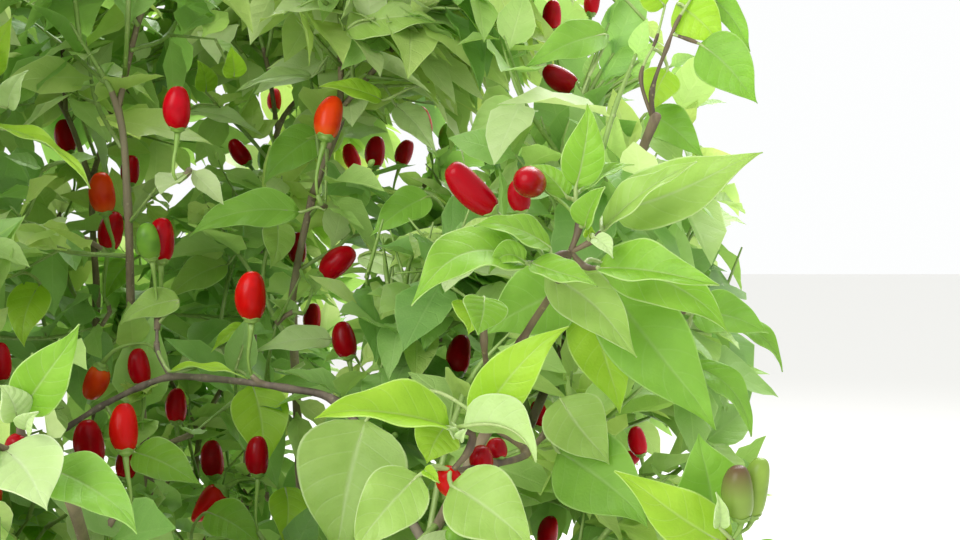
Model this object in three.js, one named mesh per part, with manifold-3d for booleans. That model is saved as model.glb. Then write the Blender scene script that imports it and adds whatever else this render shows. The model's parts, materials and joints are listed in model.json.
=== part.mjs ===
// A bushy, small-fruited chilli pepper plant, rooted in the ground.
// Millimetres, +Z up. The origin is the centre of the flat cut where the stem leaves the ground.
// A viewer who looks along +Y sees the side with the four near shoots.
import * as THREE from "three";
import { mergeVertices } from "three/addons/utils/BufferGeometryUtils.js";
import Module from "manifold-3d";

const wasm = await Module();
wasm.setup();

const clearGap = 0.3; // between pieces that meet
const spaceGap = 2; // between the spaces of two masses
const leafGap = 7; // from a limb's bark to any leaf
const twigGap = 4; // from a limb's bark to any twig

// The main stem leans a little as it rises from its flared foot to the first fork.
const stem = { footRadius: 8.5, flare: 5, flareHeight: 16, tipRadius: 6.6, forkHeight: 150, lean: [9, -7] };

// Three main boughs fork from the stem, two side boughs from each, and three upper boughs from each of those.
const columns = 6;
const firstAzimuth = -57;
const mainBough = { reach: 62, height: 262, footRadius: 5.4, tipRadius: 4.4, sides: 6, steps: 3 };
const sideBough = { reach: 112, height: 368, footRadius: 4.0, tipRadius: 3.2, sides: 5, steps: 3 };
const boughWander = 9; // how far a fork strays from its even place
const joint = { overlap: 1.4, kneeAt: 0.45, bow: 0.1 }; // how a limb starts in its parent and bows outwards
const limbSamples = 24; // along a limb, where its distance from leaves is measured

// The crown's three storeys: where an upper bough ends, and the middle and half sizes of its mass of leaves.
const storeys = [
  {
    name: "lower", bough: [146, 358], middle: [222, 350], half: [138, 126], turn: 0, lift: 0.02, twig: 45,
  },
  {
    name: "middle", bough: [148, 466], middle: [222, 572], half: [138, 134], turn: 22, lift: 0.1, twig: 55,
  },
  {
    name: "upper", bough: [96, 612], middle: [132, 762], half: [136, 150], turn: -12, lift: 0.3, twig: 60,
  },
];
const upperBough = { footRadius: 2.9, tipRadius: 2.2, sides: 4, steps: 3 };
const shootBough = { footRadius: 2.9, tipRadius: 1.9, sides: 4, steps: 4 };

// How a mass grows: a stem that forks again and again, with leaves at each fork and a tuft at each end. Each
// twig is shorter and thinner than the one that bears it, by the shares shrink and thin.
const twigRule = {
  levels: 4, shrink: 0.86, radius: 2.2, thin: 0.88, fork: 33, twist: 50, outward: 0.2, collar: 4, root: 3,
};
const leafRule = {
  length: 64, spread: 0.4, share: 0.44, widest: 0.42, thickest: 0.16, thickness: 1.3, fold: 0.12, droop: 0.16,
  forward: 0.45, outward: 0.5, rise: -0.35, stray: 0.9, lightOutward: 0.55,
  atFork: 1, atTip: 3, below: 3, step: 5, scatter: 110, tries: 3, apart: 10,
};
const fruitRule = {
  length: 20, width: 10.5, stalk: 24, stalkRadii: [0.6, 1.6], chance: 0.17, splay: 0.45, below: 6, apart: 8,
};

// A near shoot: how far its sprigs run below and above their node, the radii along them, the way its leaves
// face, and how much of the way from its foot to its fruit is stalk.
const shootRule = { low: -20, high: 16, radii: [1.8, 1.8, 1.6, 1.2], light: [0, -0.7, 0.7], stalkShare: 0.6 };

// Four shoots stand out of the crown towards the viewer. A leaf is the height on the shoot where it starts,
// its tip's offset from the shoot's node to the right, away and up, its width and its turn about its length.
const shoots = {
  near_shoots: {
    fork: 0,
    boughEnd: [205, -252, 606],
    spaces: [[238, -292, 668, 66], [192, -308, 600, 53]],
    sprigs: [
      {
        node: [231, -291, 672],
        leaves: [
          [14, 5, 6, 44, 13, 10], [12, 60, 4, 30, 19, 20], [8, 39, -8, 25, 13, -30], [10, -10, 10, 25, 10, 0],
          [-2, -32, -6, 6, 14, 60], [-8, -52, -12, -21, 17, 20], [-8, 45, -14, -15, 15, 10],
          [-12, 50, 2, -28, 15, 30], [-14, 19, 36, -39, 21, 0], [-6, 8, -16, -13, 12, 70],
        ],
        fruits: [[6, -18, -6, 16, 12], [4, -32, -2, 16, 20]],
      },
      {
        node: [194, -306, 611],
        leaves: [
          [2, -46, -8, 8, 20, -35], [2, 32, 4, 35, 15, 20], [3, 24, -14, -7, 13, 60], [-2, -12, 6, -8, 13, 0],
          [-14, -32, -6, -35, 22, 0], [-16, 26, -10, -37, 27, 0],
        ],
        fruits: [[-14, -6, 4, -12, 18], [-8, 8, 8, -6, 18]],
      },
    ],
  },
  left_shoot: {
    fork: 0,
    boughEnd: [70, -305, 592],
    spaces: [[76, -344, 616, 44]],
    sprigs: [
      {
        node: [69, -344, 616],
        leaves: [
          [8, 17, 2, 32, 14, 10], [-4, 34, -4, -25, 14, 20], [0, 10, -12, -17, 17, 0],
          [2, -24, -6, 12, 15, 10], [-6, -26, 4, -14, 16, 0],
        ],
        fruits: [[-2, 0, -6, -2, 16]],
      },
    ],
  },
  right_shoot: {
    fork: 0,
    boughEnd: [264, -262, 548],
    spaces: [[278, -288, 586, 45]],
    sprigs: [
      {
        node: [284, -288, 568],
        leaves: [[-6, -36, -6, 32, 21, 30], [-10, 22, 8, -14, 16, 0], [-10, -22, -12, -20, 18, 0]],
        fruits: [[2, 11, -2, 27, 20]],
      },
    ],
  },
  top_shoot: {
    fork: 1,
    boughEnd: [276, -142, 716],
    spaces: [[292, -154, 752, 46]],
    sprigs: [
      {
        node: [290, -154, 750],
        leaves: [
          [6, 24, -4, -25, 24, 20], [8, 34, 6, 8, 20, 0], [10, 6, 8, 40, 18, 20], [4, -30, 0, 12, 20, 10],
          [-6, -16, -18, -22, 18, 0],
        ],
        fruits: [],
      },
    ],
  },
};

const colours = { bark: 0x7b7259, twig: 0x7f9a4a, leaf: 0x86b545 };
const up = new THREE.Vector3(0, 0, 1);
const vector = (values) => new THREE.Vector3(...values);
const degrees = THREE.MathUtils.degToRad;

// Even draws from 0 to 1 that are the same on every run.
function draws(seed) {
  let state = seed >>> 0;
  return () => {
    state = (state + 0x6d2b79f5) >>> 0;
    let mixed = Math.imul(state ^ (state >>> 15), state | 1);
    mixed ^= mixed + Math.imul(mixed ^ (mixed >>> 7), mixed | 61);
    return ((mixed ^ (mixed >>> 14)) >>> 0) / 4294967296;
  };
}

// A point at a distance from the plant's axis, in a direction seen from above.
function around(azimuth, reach, height) {
  return new THREE.Vector3(Math.cos(degrees(azimuth)) * reach, Math.sin(degrees(azimuth)) * reach, height);
}

// A closed three.js geometry as a solid that can be joined and cut.
function solidOf(geometry) {
  const bare = geometry.clone();
  bare.deleteAttribute("normal");
  bare.deleteAttribute("uv");
  const merged = mergeVertices(bare, 1e-4);
  const mesh = new wasm.Mesh({
    numProp: 3,
    vertProperties: new Float32Array(merged.attributes.position.array),
    triVerts: new Uint32Array(merged.index.array),
  });
  return new wasm.Manifold(mesh);
}

function geometryOf(solid) {
  const mesh = solid.getMesh();
  const geometry = new THREE.BufferGeometry();
  geometry.setAttribute("position", new THREE.BufferAttribute(new Float32Array(mesh.vertProperties), 3));
  geometry.setIndex(new THREE.BufferAttribute(new Uint32Array(mesh.triVerts), 1));
  const flat = geometry.toNonIndexed();
  flat.computeVertexNormals();
  return flat;
}

// The largest body of a solid, with any loose scrap left out.
function largest(solid) {
  return solid.decompose().reduce((best, body) => (body.volume() > best.volume() ? body : best));
}

const turnTo = (from, to) => new THREE.Quaternion().setFromUnitVectors(from, to);

// A tapering tube: a cylinder whose rings are set along a line of points. grow thickens it and lengthens its
// ends.
function tubeSolid({ points, radii, sides, foot }, grow = 0) {
  const steps = points.length - 1;
  const geometry = new THREE.CylinderGeometry(1, 1, 1, sides, steps);
  const headings = points.map((point, i) => points[Math.min(i + 1, steps)].clone()
    .sub(points[Math.max(i - 1, 0)]).normalize());
  headings[0] = foot ?? headings[0];
  const turns = [turnTo(new THREE.Vector3(0, 1, 0), headings[0])];
  for (let i = 1; i <= steps; i++) {
    turns.push(turnTo(headings[i - 1], headings[i]).multiply(turns[i - 1]));
  }
  const place = geometry.attributes.position;
  for (let i = 0; i < place.count; i++) {
    const step = Math.round((place.getY(i) + 0.5) * steps);
    const end = step === 0 ? -grow : step === steps ? grow : 0;
    const radius = radii[step] + grow;
    const point = new THREE.Vector3(place.getX(i) * radius, end, place.getZ(i) * radius)
      .applyQuaternion(turns[step]).add(points[step]);
    place.setXYZ(i, point.x, point.y, point.z);
  }
  return solidOf(geometry);
}

function taper(footRadius, tipRadius) {
  return (along) => footRadius + (tipRadius - footRadius) * along;
}

const twigSolid = ({ points, radii }) => tubeSolid({ points, radii, sides: 3 });

// A folded, drooping leaf of eight faces, its narrow end sunk in the twig that carries it.
function leafSolid({ base, along, normal, length, width }) {
  const side = new THREE.Vector3().crossVectors(along, normal);
  const geometry = new THREE.OctahedronGeometry(1, 0);
  const place = geometry.attributes.position;
  for (let i = 0; i < place.count; i++) {
    const [across, reach, rise] = [place.getX(i), place.getY(i), place.getZ(i)].map(Math.round);
    const middle = across === 0 ? leafRule.thickest : leafRule.widest;
    const distance = reach === 0 ? middle * length : reach > 0 ? length : 0;
    const height = (rise * leafRule.thickness) / 2 + Math.abs(across) * leafRule.fold * width
      - (reach > 0 ? leafRule.droop * length : 0);
    const point = base.clone()
      .addScaledVector(along, distance)
      .addScaledVector(side, (across * width) / 2)
      .addScaledVector(normal, height);
    place.setXYZ(i, point.x, point.y, point.z);
  }
  return solidOf(geometry);
}

// An oval fruit and its stalk, turned as one profile of [height, radius].
function fruitSolid({ foot, base, heading, length, width }) {
  const stalk = base.distanceTo(foot);
  const profile = [
    [0, 0], [0, fruitRule.stalkRadii[0]], [stalk, fruitRule.stalkRadii[1]],
    [stalk + length * 0.3, width * 0.5], [stalk + length * 0.8, width * 0.38], [stalk + length, 0],
  ];
  const outline = profile.map(([rise, radius]) => new THREE.Vector2(radius, rise));
  const geometry = new THREE.LatheGeometry(outline, 5);
  geometry.applyQuaternion(turnTo(new THREE.Vector3(0, 1, 0), heading));
  geometry.translate(foot.x, foot.y, foot.z);
  return solidOf(geometry);
}

// The limbs, from the stem to the boughs that end where they enter a mass.
const limbs = [];

function addLimb(name, points, parent, options) {
  const { sides, steps, radiusAt, foot } = options;
  const curve = new THREE.CatmullRomCurve3(points, false, "centripetal");
  const rings = curve.getSpacedPoints(steps);
  const limb = { name, parent, tip: points.at(-1), heading: curve.getTangentAt(1) };
  limb.tube = { points: rings, radii: rings.map((ring, i) => radiusAt(i / steps)), sides, foot };
  limb.samples = curve.getSpacedPoints(limbSamples)
    .map((point, i) => ({ point, radius: radiusAt(i / limbSamples) }));
  limbs.push(limb);
  return limb;
}

// A limb that starts inside its parent's tip, bows outwards and ends at a fork.
function forkLimb(name, parent, tip, { footRadius, tipRadius, sides, steps }) {
  const start = parent.tip.clone().addScaledVector(parent.heading, -footRadius * joint.overlap);
  const knee = start.clone().lerp(tip, joint.kneeAt);
  const outward = new THREE.Vector3(tip.x - start.x, tip.y - start.y, 0);
  knee.addScaledVector(outward, joint.bow);
  return addLimb(name, [start, knee, tip], parent, { radiusAt: taper(footRadius, tipRadius), sides, steps });
}

const stemPoints = [[0, 0, 0], [2, -1, 30], [7, -4, 90], [...stem.lean, stem.forkHeight]].map(vector);
const stemLimb = addLimb("main_stem", stemPoints, null, {
  sides: 10,
  steps: 8,
  foot: up,
  radiusAt: (along) => taper(stem.footRadius, stem.tipRadius)(along)
    + stem.flare * Math.exp((-along * stem.forkHeight) / stem.flareHeight),
});

const wander = draws(11);
const stray = () => (wander() - 0.5) * 2 * boughWander;
const forks = [];
const masses = [];
for (let i = 0; i < columns / 2; i++) {
  const between = firstAzimuth + (i * 2 + 0.5) * (360 / columns);
  const mainTip = around(between + stray(), mainBough.reach, mainBough.height + stray());
  const main = forkLimb(`main_bough_${i + 1}`, stemLimb, mainTip, mainBough);
  for (let j = 0; j < 2; j++) {
    const column = i * 2 + j;
    const azimuth = firstAzimuth + column * (360 / columns);
    const forkTip = around(azimuth + stray(), sideBough.reach, sideBough.height + stray());
    const side = forkLimb(`side_bough_${column + 1}`, main, forkTip, sideBough);
    forks.push(side);
    storeys.forEach((storey, level) => {
      const heading = azimuth + storey.turn;
      const tip = around(heading, storey.bough[0] + stray(), storey.bough[1] + stray());
      const name = `${storey.name}_bough_${column + 1}`;
      const bough = forkLimb(name, side, tip, upperBough);
      masses.push({
        name: `${storey.name}_foliage_${column + 1}`,
        bough,
        seed: 1 + column * storeys.length + level,
        middle: around(heading, storey.middle[0] + stray() / 2, storey.middle[1] + stray()),
        half: storey.half,
        lift: storey.lift,
        twig: storey.twig,
      });
    });
  }
}
for (const [name, shoot] of Object.entries(shoots)) {
  shoot.bough = forkLimb(`${name}_bough`, forks[shoot.fork], vector(shoot.boughEnd), shootBough);
}

// Each limb's solid is cut clear of its parent and of the limbs that leave the same fork before it.
const grown = new Map(limbs.map((limb) => [limb, tubeSolid(limb.tube, clearGap)]));
limbs.forEach((limb, i) => {
  const before = limbs.slice(0, i).filter((other) => other === limb.parent || other.parent === limb.parent);
  const cutters = before.map((other) => grown.get(other));
  const cutBack = limb.parent?.parent ? [...cutters, grown.get(limb.parent.parent)] : cutters;
  const whole = tubeSolid(limb.tube);
  limb.solid = cutBack.length ? largest(whole.subtract(wasm.Manifold.union(cutBack))) : whole;
});

function nearLimb(point, gap) {
  return limbs.some((limb) => limb.samples.some(
    (sample) => sample.point.distanceTo(point) < sample.radius + gap,
  ));
}

const keepOut = Object.values(shoots).flatMap((shoot) => shoot.spaces);

// Whether a point lies in a mass's own space: inside its oval, on its own side of each neighbour, and out of
// the shoots' round spaces.
function inSpace(mass, point) {
  const flat = Math.hypot(point.x - mass.middle.x, point.y - mass.middle.y) / mass.half[0];
  const tall = (point.z - mass.middle.z) / mass.half[1];
  if (flat * flat + tall * tall > 1) return false;
  const crossed = masses.some((other) => {
    if (other === mass) return false;
    const apart = other.middle.clone().sub(mass.middle);
    const halfway = other.middle.clone().add(mass.middle).multiplyScalar(0.5);
    return point.clone().sub(halfway).dot(apart) / apart.length() > -spaceGap / 2;
  });
  return !crossed && keepOut.every(([x, y, z, radius]) => point.distanceTo(vector([x, y, z])) > radius + 1);
}

// A leaf's test points: a grid over its blade.
function leafPoints({ base, along, normal, length, width }) {
  const side = new THREE.Vector3().crossVectors(along, normal);
  const points = [];
  for (let i = 1; i <= 8; i++) {
    const share = i / 8;
    const half = (width / 2) * Math.min(share / leafRule.widest, (1 - share) / (1 - leafRule.widest));
    for (const across of [-1, 0, 1]) {
      points.push(base.clone()
        .addScaledVector(along, share * length)
        .addScaledVector(side, across * half)
        .addScaledVector(normal, -leafRule.droop * length * share * share));
    }
  }
  return points;
}

// Turns a direction about an axis by degrees.
const turned = (direction, axis, angle) => direction.clone().applyAxisAngle(axis, degrees(angle));

// The leaf at a node: it leaves the twig to one side, droops a little and turns its face to the light.
function nodeLeaf(base, heading, sideways, random) {
  const outward = new THREE.Vector3(base.x, base.y, 0).normalize();
  const along = sideways.clone()
    .addScaledVector(heading, leafRule.forward)
    .addScaledVector(outward, leafRule.outward)
    .addScaledVector(up, leafRule.rise + (random() - 0.5) * leafRule.stray)
    .normalize();
  const chance = new THREE.Vector3(random() - 0.5, random() - 0.5, random() - 0.5);
  const light = up.clone().addScaledVector(outward, leafRule.lightOutward)
    .addScaledVector(chance, leafRule.stray);
  const side = light.cross(along).normalize();
  const normal = new THREE.Vector3().crossVectors(along, side).normalize();
  const length = leafRule.length * (1 + (random() - 0.5) * leafRule.spread);
  const width = length * leafRule.share * (0.9 + random() * 0.25);
  return { base, along, normal, length, width };
}

function fits(mass, points, gap) {
  return points.every((point) => inSpace(mass, point) && !nearLimb(point, gap));
}

function crowded(points, others, gap) {
  return others.some((other) => points.some((point) => point.distanceTo(other) < gap));
}

const alongTwig = (from, to) => [0.25, 0.5, 0.75, 1].map((share) => from.clone().lerp(to, share));

// Grows one twig and the two twigs that fork from its end. A twig that would leave the mass's space turns
// back towards its middle, and is left out if that doesn't help. One twig of each fork carries its stem on.
function growTwig(mass, twigs, stems, from, start, plane, id, level, carried, root) {
  const random = draws(mass.seed * 4096 + id);
  const outward = new THREE.Vector3(from.x, from.y, 0).normalize();
  const reach = mass.twig * twigRule.shrink ** level * (0.85 + random() * 0.3);
  let heading = start.clone().addScaledVector(up, mass.lift).addScaledVector(outward, twigRule.outward)
    .normalize();
  let end = from.clone().addScaledVector(heading, reach);
  if (level > 0 && !fits(mass, alongTwig(from, end), twigGap)) {
    heading = heading.add(mass.middle.clone().sub(from).normalize()).normalize();
    end = from.clone().addScaledVector(heading, reach * 0.8);
    if (!fits(mass, alongTwig(from, end), twigGap)) return;
  }
  const radius = twigRule.radius * twigRule.thin ** level;
  const across = new THREE.Vector3().crossVectors(heading, plane).normalize();
  const last = level === twigRule.levels - 1;
  const stem = carried ?? { points: [root], radii: [radius * 0.5] };
  if (!carried) stems.push(stem);
  stem.points.push(end);
  stem.radii.push(radius * twigRule.thin);
  twigs.push({ from, to: end, heading, across, id, last });
  if (last) return;
  for (const side of [1, -1]) {
    const angle = side * twigRule.fork * (0.8 + random() * 0.4);
    const child = turned(heading, plane, angle);
    const nextPlane = turned(across, heading, (random() - 0.5) * twigRule.twist);
    const next = id * 2 + (side < 0 ? 1 : 0);
    const inside = end.clone().addScaledVector(heading, -twigRule.root);
    growTwig(mass, twigs, stems, end, child, nextPlane, next, level + 1, side > 0 ? stem : null, inside);
  }
}

// Sets leaves and a fruit at a twig's end. A leaf that would touch another or leave the space is tried at
// another turn, and then left out.
function dressTwig(mass, twig, twigs, taken, leaves, fruits) {
  const random = draws(mass.seed * 4096 + 2048 + twig.id);
  const others = twigs.filter((other) => other !== twig)
    .flatMap((other) => alongTwig(other.from, other.to))
    .filter((point) => point.distanceTo(twig.to) > leafRule.apart * 1.5);
  const count = twig.last ? leafRule.atTip : leafRule.atFork;
  for (let i = 0; i < count; i++) {
    const base = twig.to.clone().addScaledVector(twig.heading, -leafRule.below - i * leafRule.step);
    for (let attempt = 0; attempt < leafRule.tries; attempt++) {
      const turn = (i * 360) / count + random() * leafRule.scatter;
      const leaf = nodeLeaf(base, twig.heading, turned(twig.across, twig.heading, turn), random);
      const blade = leafPoints(leaf).slice(3);
      if (!fits(mass, leafPoints(leaf), leafGap)) continue;
      if (crowded(blade, [...taken, ...others], leafRule.apart)) continue;
      leaves.push(leaf);
      taken.push(...blade);
      break;
    }
  }
  if (random() > fruitRule.chance) return;
  const lean = turned(twig.across, twig.heading, random() * 360).multiplyScalar(fruitRule.splay).add(up)
    .normalize();
  const foot = twig.to.clone().addScaledVector(twig.heading, -fruitRule.below);
  const base = foot.clone().addScaledVector(lean, fruitRule.stalk);
  const length = fruitRule.length * (0.85 + random() * 0.3);
  const fruit = { foot, base, heading: lean, length, width: fruitRule.width };
  const points = [0, 0.5, 1].map((share) => base.clone().addScaledVector(lean, share * length));
  if (!fits(mass, points, leafGap) || crowded(points, [...taken, ...others], fruitRule.apart)) return;
  fruits.push(fruit);
  taken.push(...points);
}

// Joins a mass's stems, leaves and fruit into one solid.
function joined(stems, leaves, fruits) {
  return largest(wasm.Manifold.union([
    ...stems.map(twigSolid), ...leaves.map(leafSolid), ...fruits.map(fruitSolid),
  ]));
}

function growMass(mass) {
  const [twigs, stems, leaves, fruits, taken] = [[], [], [], [], []];
  const foot = mass.bough.tip.clone().addScaledVector(mass.bough.heading, clearGap);
  const towards = mass.middle.clone().sub(foot).normalize().add(mass.bough.heading).normalize();
  const random = draws(mass.seed);
  const plane = new THREE.Vector3(random() - 0.5, random() - 0.5, random() - 0.5).cross(towards).normalize();
  const collar = foot.clone().addScaledVector(mass.bough.heading, twigRule.collar);
  const neck = { points: [foot, collar], radii: [twigRule.radius, twigRule.radius] };
  stems.push(neck);
  growTwig(mass, twigs, stems, collar, towards, plane, 1, 0, neck);
  twigs.forEach((twig) => dressTwig(mass, twig, twigs, taken, leaves, fruits));
  return joined(stems, leaves, fruits);
}

// A shoot's leaf, from the point on the sprig where it starts to its tip's place.
function placedLeaf(node, [height, right, away, rise, width, turn]) {
  const base = node.clone().add(new THREE.Vector3(0, 0, height));
  const tip = node.clone().add(new THREE.Vector3(right, away, rise));
  const along = tip.clone().sub(base);
  const length = along.length();
  along.normalize();
  const side = new THREE.Vector3().crossVectors(vector(shootRule.light), along).normalize();
  const normal = new THREE.Vector3().crossVectors(along, side).normalize();
  return { base, along, normal: turned(normal, along, turn).normalize(), length, width };
}

function placedFruit(node, [height, right, away, rise, length]) {
  const foot = node.clone().add(new THREE.Vector3(0, 0, height));
  const base = node.clone().add(new THREE.Vector3(right, away, rise));
  const heading = base.clone().sub(foot).normalize().addScaledVector(up, 0.3).normalize();
  const width = (length * fruitRule.width) / fruitRule.length;
  return { foot, base: foot.clone().lerp(base, shootRule.stalkShare), heading, length, width };
}

function growShoot(shoot) {
  const [stems, leaves, fruits] = [[], [], []];
  const foot = shoot.bough.tip.clone().addScaledVector(shoot.bough.heading, clearGap);
  const collar = foot.clone().addScaledVector(shoot.bough.heading, twigRule.collar);
  shoot.sprigs.forEach((sprig, i) => {
    const node = vector(sprig.node);
    const low = node.clone().add(new THREE.Vector3(0, 0, shootRule.low));
    const high = node.clone().add(new THREE.Vector3(0, 0, shootRule.high));
    const points = i === 0 ? [foot, collar, low, high] : [collar, low, high];
    stems.push({ points, radii: shootRule.radii.slice(-points.length) });
    leaves.push(...sprig.leaves.map((row) => placedLeaf(node, row)));
    fruits.push(...sprig.fruits.map((row) => placedFruit(node, row)));
  });
  return joined(stems, leaves, fruits);
}

function finish(colour) {
  return new THREE.MeshStandardMaterial({ color: colour, roughness: 0.6, metalness: 0 });
}

const plant = new THREE.Group();
function addPiece(name, solid, colour) {
  const mesh = new THREE.Mesh(geometryOf(solid), finish(colour));
  mesh.name = name;
  plant.add(mesh);
}

limbs.forEach((limb) => addPiece(limb.name, limb.solid, limb.parent ? colours.twig : colours.bark));
masses.forEach((mass) => addPiece(mass.name, growMass(mass), colours.leaf));
Object.entries(shoots).forEach(([name, shoot]) => addPiece(name, growShoot(shoot), colours.leaf));

export default plant;
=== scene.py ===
# A bushy chilli pepper plant in fruit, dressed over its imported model. Lengths here are in millimetres.
import json
import math

import bpy
import numpy as np
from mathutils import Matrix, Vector

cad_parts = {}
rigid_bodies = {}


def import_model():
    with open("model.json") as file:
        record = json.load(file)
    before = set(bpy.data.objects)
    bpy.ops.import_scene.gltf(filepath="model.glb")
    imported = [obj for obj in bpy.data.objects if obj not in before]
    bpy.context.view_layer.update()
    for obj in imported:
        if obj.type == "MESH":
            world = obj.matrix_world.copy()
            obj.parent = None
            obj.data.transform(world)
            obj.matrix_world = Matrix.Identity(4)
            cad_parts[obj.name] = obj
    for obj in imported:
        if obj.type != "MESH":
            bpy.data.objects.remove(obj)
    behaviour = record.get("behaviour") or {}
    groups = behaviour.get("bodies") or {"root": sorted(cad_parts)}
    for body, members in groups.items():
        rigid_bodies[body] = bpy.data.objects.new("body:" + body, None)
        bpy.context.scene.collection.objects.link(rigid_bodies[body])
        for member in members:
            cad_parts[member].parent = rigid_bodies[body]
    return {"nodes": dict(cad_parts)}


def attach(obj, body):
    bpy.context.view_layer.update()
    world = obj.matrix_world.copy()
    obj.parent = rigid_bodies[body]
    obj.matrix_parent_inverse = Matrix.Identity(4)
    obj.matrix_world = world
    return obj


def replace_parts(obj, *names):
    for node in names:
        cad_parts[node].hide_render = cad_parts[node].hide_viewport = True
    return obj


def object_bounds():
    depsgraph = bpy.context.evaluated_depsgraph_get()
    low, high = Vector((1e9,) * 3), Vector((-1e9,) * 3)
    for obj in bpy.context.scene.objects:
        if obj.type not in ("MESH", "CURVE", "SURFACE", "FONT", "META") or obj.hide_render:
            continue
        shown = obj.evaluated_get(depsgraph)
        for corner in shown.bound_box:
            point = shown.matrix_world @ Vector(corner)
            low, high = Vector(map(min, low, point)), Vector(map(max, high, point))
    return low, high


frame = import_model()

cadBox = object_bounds()
mm = 0.001
up = np.array([0.0, 0.0, 1.0])
goldenAngle, goldenShare = 137.5, 0.618
print("stage: frame loaded,", len(frame["nodes"]), "nodes")


# Camera: the photo's view, level with the upper crown and close to it

cameraSetup = {
    "place": (200.0, -720.0, 700.0), "pitchDown": 5.0, "lens": 50.0, "sensor": 36.0, "width": 960,
    "height": 540, "clipStart": 0.02,
}

pitch = math.radians(cameraSetup["pitchDown"])
cameraPlace = np.array(cameraSetup["place"])
viewRight = np.array([1.0, 0.0, 0.0])
viewAhead = np.array([0.0, math.cos(pitch), -math.sin(pitch)])
viewUp = np.array([0.0, math.sin(pitch), math.cos(pitch)])
focalPixels = cameraSetup["lens"] / cameraSetup["sensor"] * cameraSetup["width"]


# The point seen at a pixel: the camera's place plus its depth along the pixel's ray
def photoPoint(u, v, depth):
    u, v, depth = (np.asarray(value, float)[..., None] for value in (u, v, depth))
    across = (u - cameraSetup["width"] / 2) / focalPixels
    rise = (cameraSetup["height"] / 2 - v) / focalPixels
    return cameraPlace + depth * (viewAhead + across * viewRight + rise * viewUp)


# The pixel and depth of points, the same formula turned round
def photoPlace(points):
    offset = np.asarray(points, float) - cameraPlace
    depth = offset @ viewAhead
    u = cameraSetup["width"] / 2 + focalPixels * (offset @ viewRight) / depth
    v = cameraSetup["height"] / 2 - focalPixels * (offset @ viewUp) / depth
    return u, v, depth


cameraData = bpy.data.cameras.new("photoCamera")
cameraData.lens = cameraSetup["lens"]
cameraData.sensor_width = cameraSetup["sensor"]
cameraData.clip_start = cameraSetup["clipStart"]
cameraObject = bpy.data.objects.new("photoCamera", cameraData)
cameraObject.location = cameraPlace * mm
cameraObject.rotation_euler = (math.pi / 2 - pitch, 0, 0)
bpy.context.scene.collection.objects.link(cameraObject)
bpy.context.scene.camera = cameraObject


# Small vector helpers

def unit(vectors):
    vectors = np.asarray(vectors, float)
    return vectors / np.maximum(np.linalg.norm(vectors, axis=-1, keepdims=True), 1e-9)


# The distance between two points
def span(a, b):
    return float(np.linalg.norm(b - a))


# The closest of some points to a place
def nearest(points, place):
    return points[int(np.argmin(np.linalg.norm(points - place, axis=1)))]


# The level direction from the middle of the plant to a point
def outwardAt(point):
    return unit(np.array([point[0], point[1], 0]))


# Turns directions about unit axes by degrees: the part along the axis stays and the rest turns round it
def turned(direction, axis, angle):
    c, s = np.cos(np.radians(angle)), np.sin(np.radians(angle))
    c, s = np.asarray(c)[..., None], np.asarray(s)[..., None]
    along = np.sum(direction * axis, axis=-1, keepdims=True) * axis
    return along + (direction - along) * c + np.cross(axis, direction) * s


# All distances from one set of points to another, by the square of a sum
def distances(points, others):
    squares = (points**2).sum(axis=1)[:, None] + (others**2).sum(axis=1)[None] - 2 * points @ others.T
    return np.sqrt(np.maximum(squares, 0))


# Even draws from 0 to 1 that are the same on every run: a counter whose bits are mixed
counterStep, allBits = 0x6D2B79F5, 0xFFFFFFFF


def draws(seed):
    state = [seed & allBits]

    def draw():
        state[0] = (state[0] + counterStep) & allBits
        mixed = ((state[0] ^ (state[0] >> 15)) * (state[0] | 1)) & allBits
        mixed ^= (mixed + (((mixed ^ (mixed >> 7)) * (mixed | 61)) & allBits)) & allBits
        return ((mixed ^ (mixed >> 14)) & allBits) / (allBits + 1)

    return draw


def threeDraws(draw):
    return np.array([draw(), draw(), draw()]) - 0.5


# Limbs: the stem and boughs, on the same curves as the solids

limbSizes = {
    "stem": {"foot": 8.5, "tip": 6.6, "height": 150.0, "flare": 5.0, "flareHeight": 16.0},
    "main": {"reach": 62.0, "height": 262.0, "foot": 5.4, "tip": 4.4},
    "side": {"reach": 112.0, "height": 368.0, "foot": 4.0, "tip": 3.2},
    "upper": {"foot": 2.9, "tip": 2.2},
    "shoot": {"foot": 2.9, "tip": 1.9},
    "columns": 6, "firstAzimuth": -57.0, "wander": 9.0, "wanderSeed": 11, "overlap": 1.4,
    "kneeAt": 0.45, "bow": 0.1, "samples": 24,
}
stemPoints = [(0, 0, 0), (2, -1, 30), (7, -4, 90), (9, -7, limbSizes["stem"]["height"])]
storeys = [
    {"name": "lower", "bough": (146, 358), "middle": (222, 350), "half": (138, 126),
     "turn": 0, "lift": 0.02, "twig": 45},
    {"name": "middle", "bough": (148, 466), "middle": (222, 572), "half": (138, 134),
     "turn": 22, "lift": 0.1, "twig": 55},
    {"name": "upper", "bough": (96, 612), "middle": (132, 762), "half": (136, 150),
     "turn": -12, "lift": 0.3, "twig": 60},
]
shootTips = {
    "near_shoots": {
        "fork": 0, "tip": (205, -252, 606), "spaces": ((238, -292, 668, 66), (192, -308, 600, 53)),
    },
    "left_shoot": {"fork": 0, "tip": (70, -305, 592), "spaces": ((76, -344, 616, 44),)},
    "right_shoot": {"fork": 0, "tip": (264, -262, 548), "spaces": ((278, -288, 586, 45),)},
    "top_shoot": {"fork": 1, "tip": (276, -142, 716), "spaces": ((292, -154, 752, 46),)},
}


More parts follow.
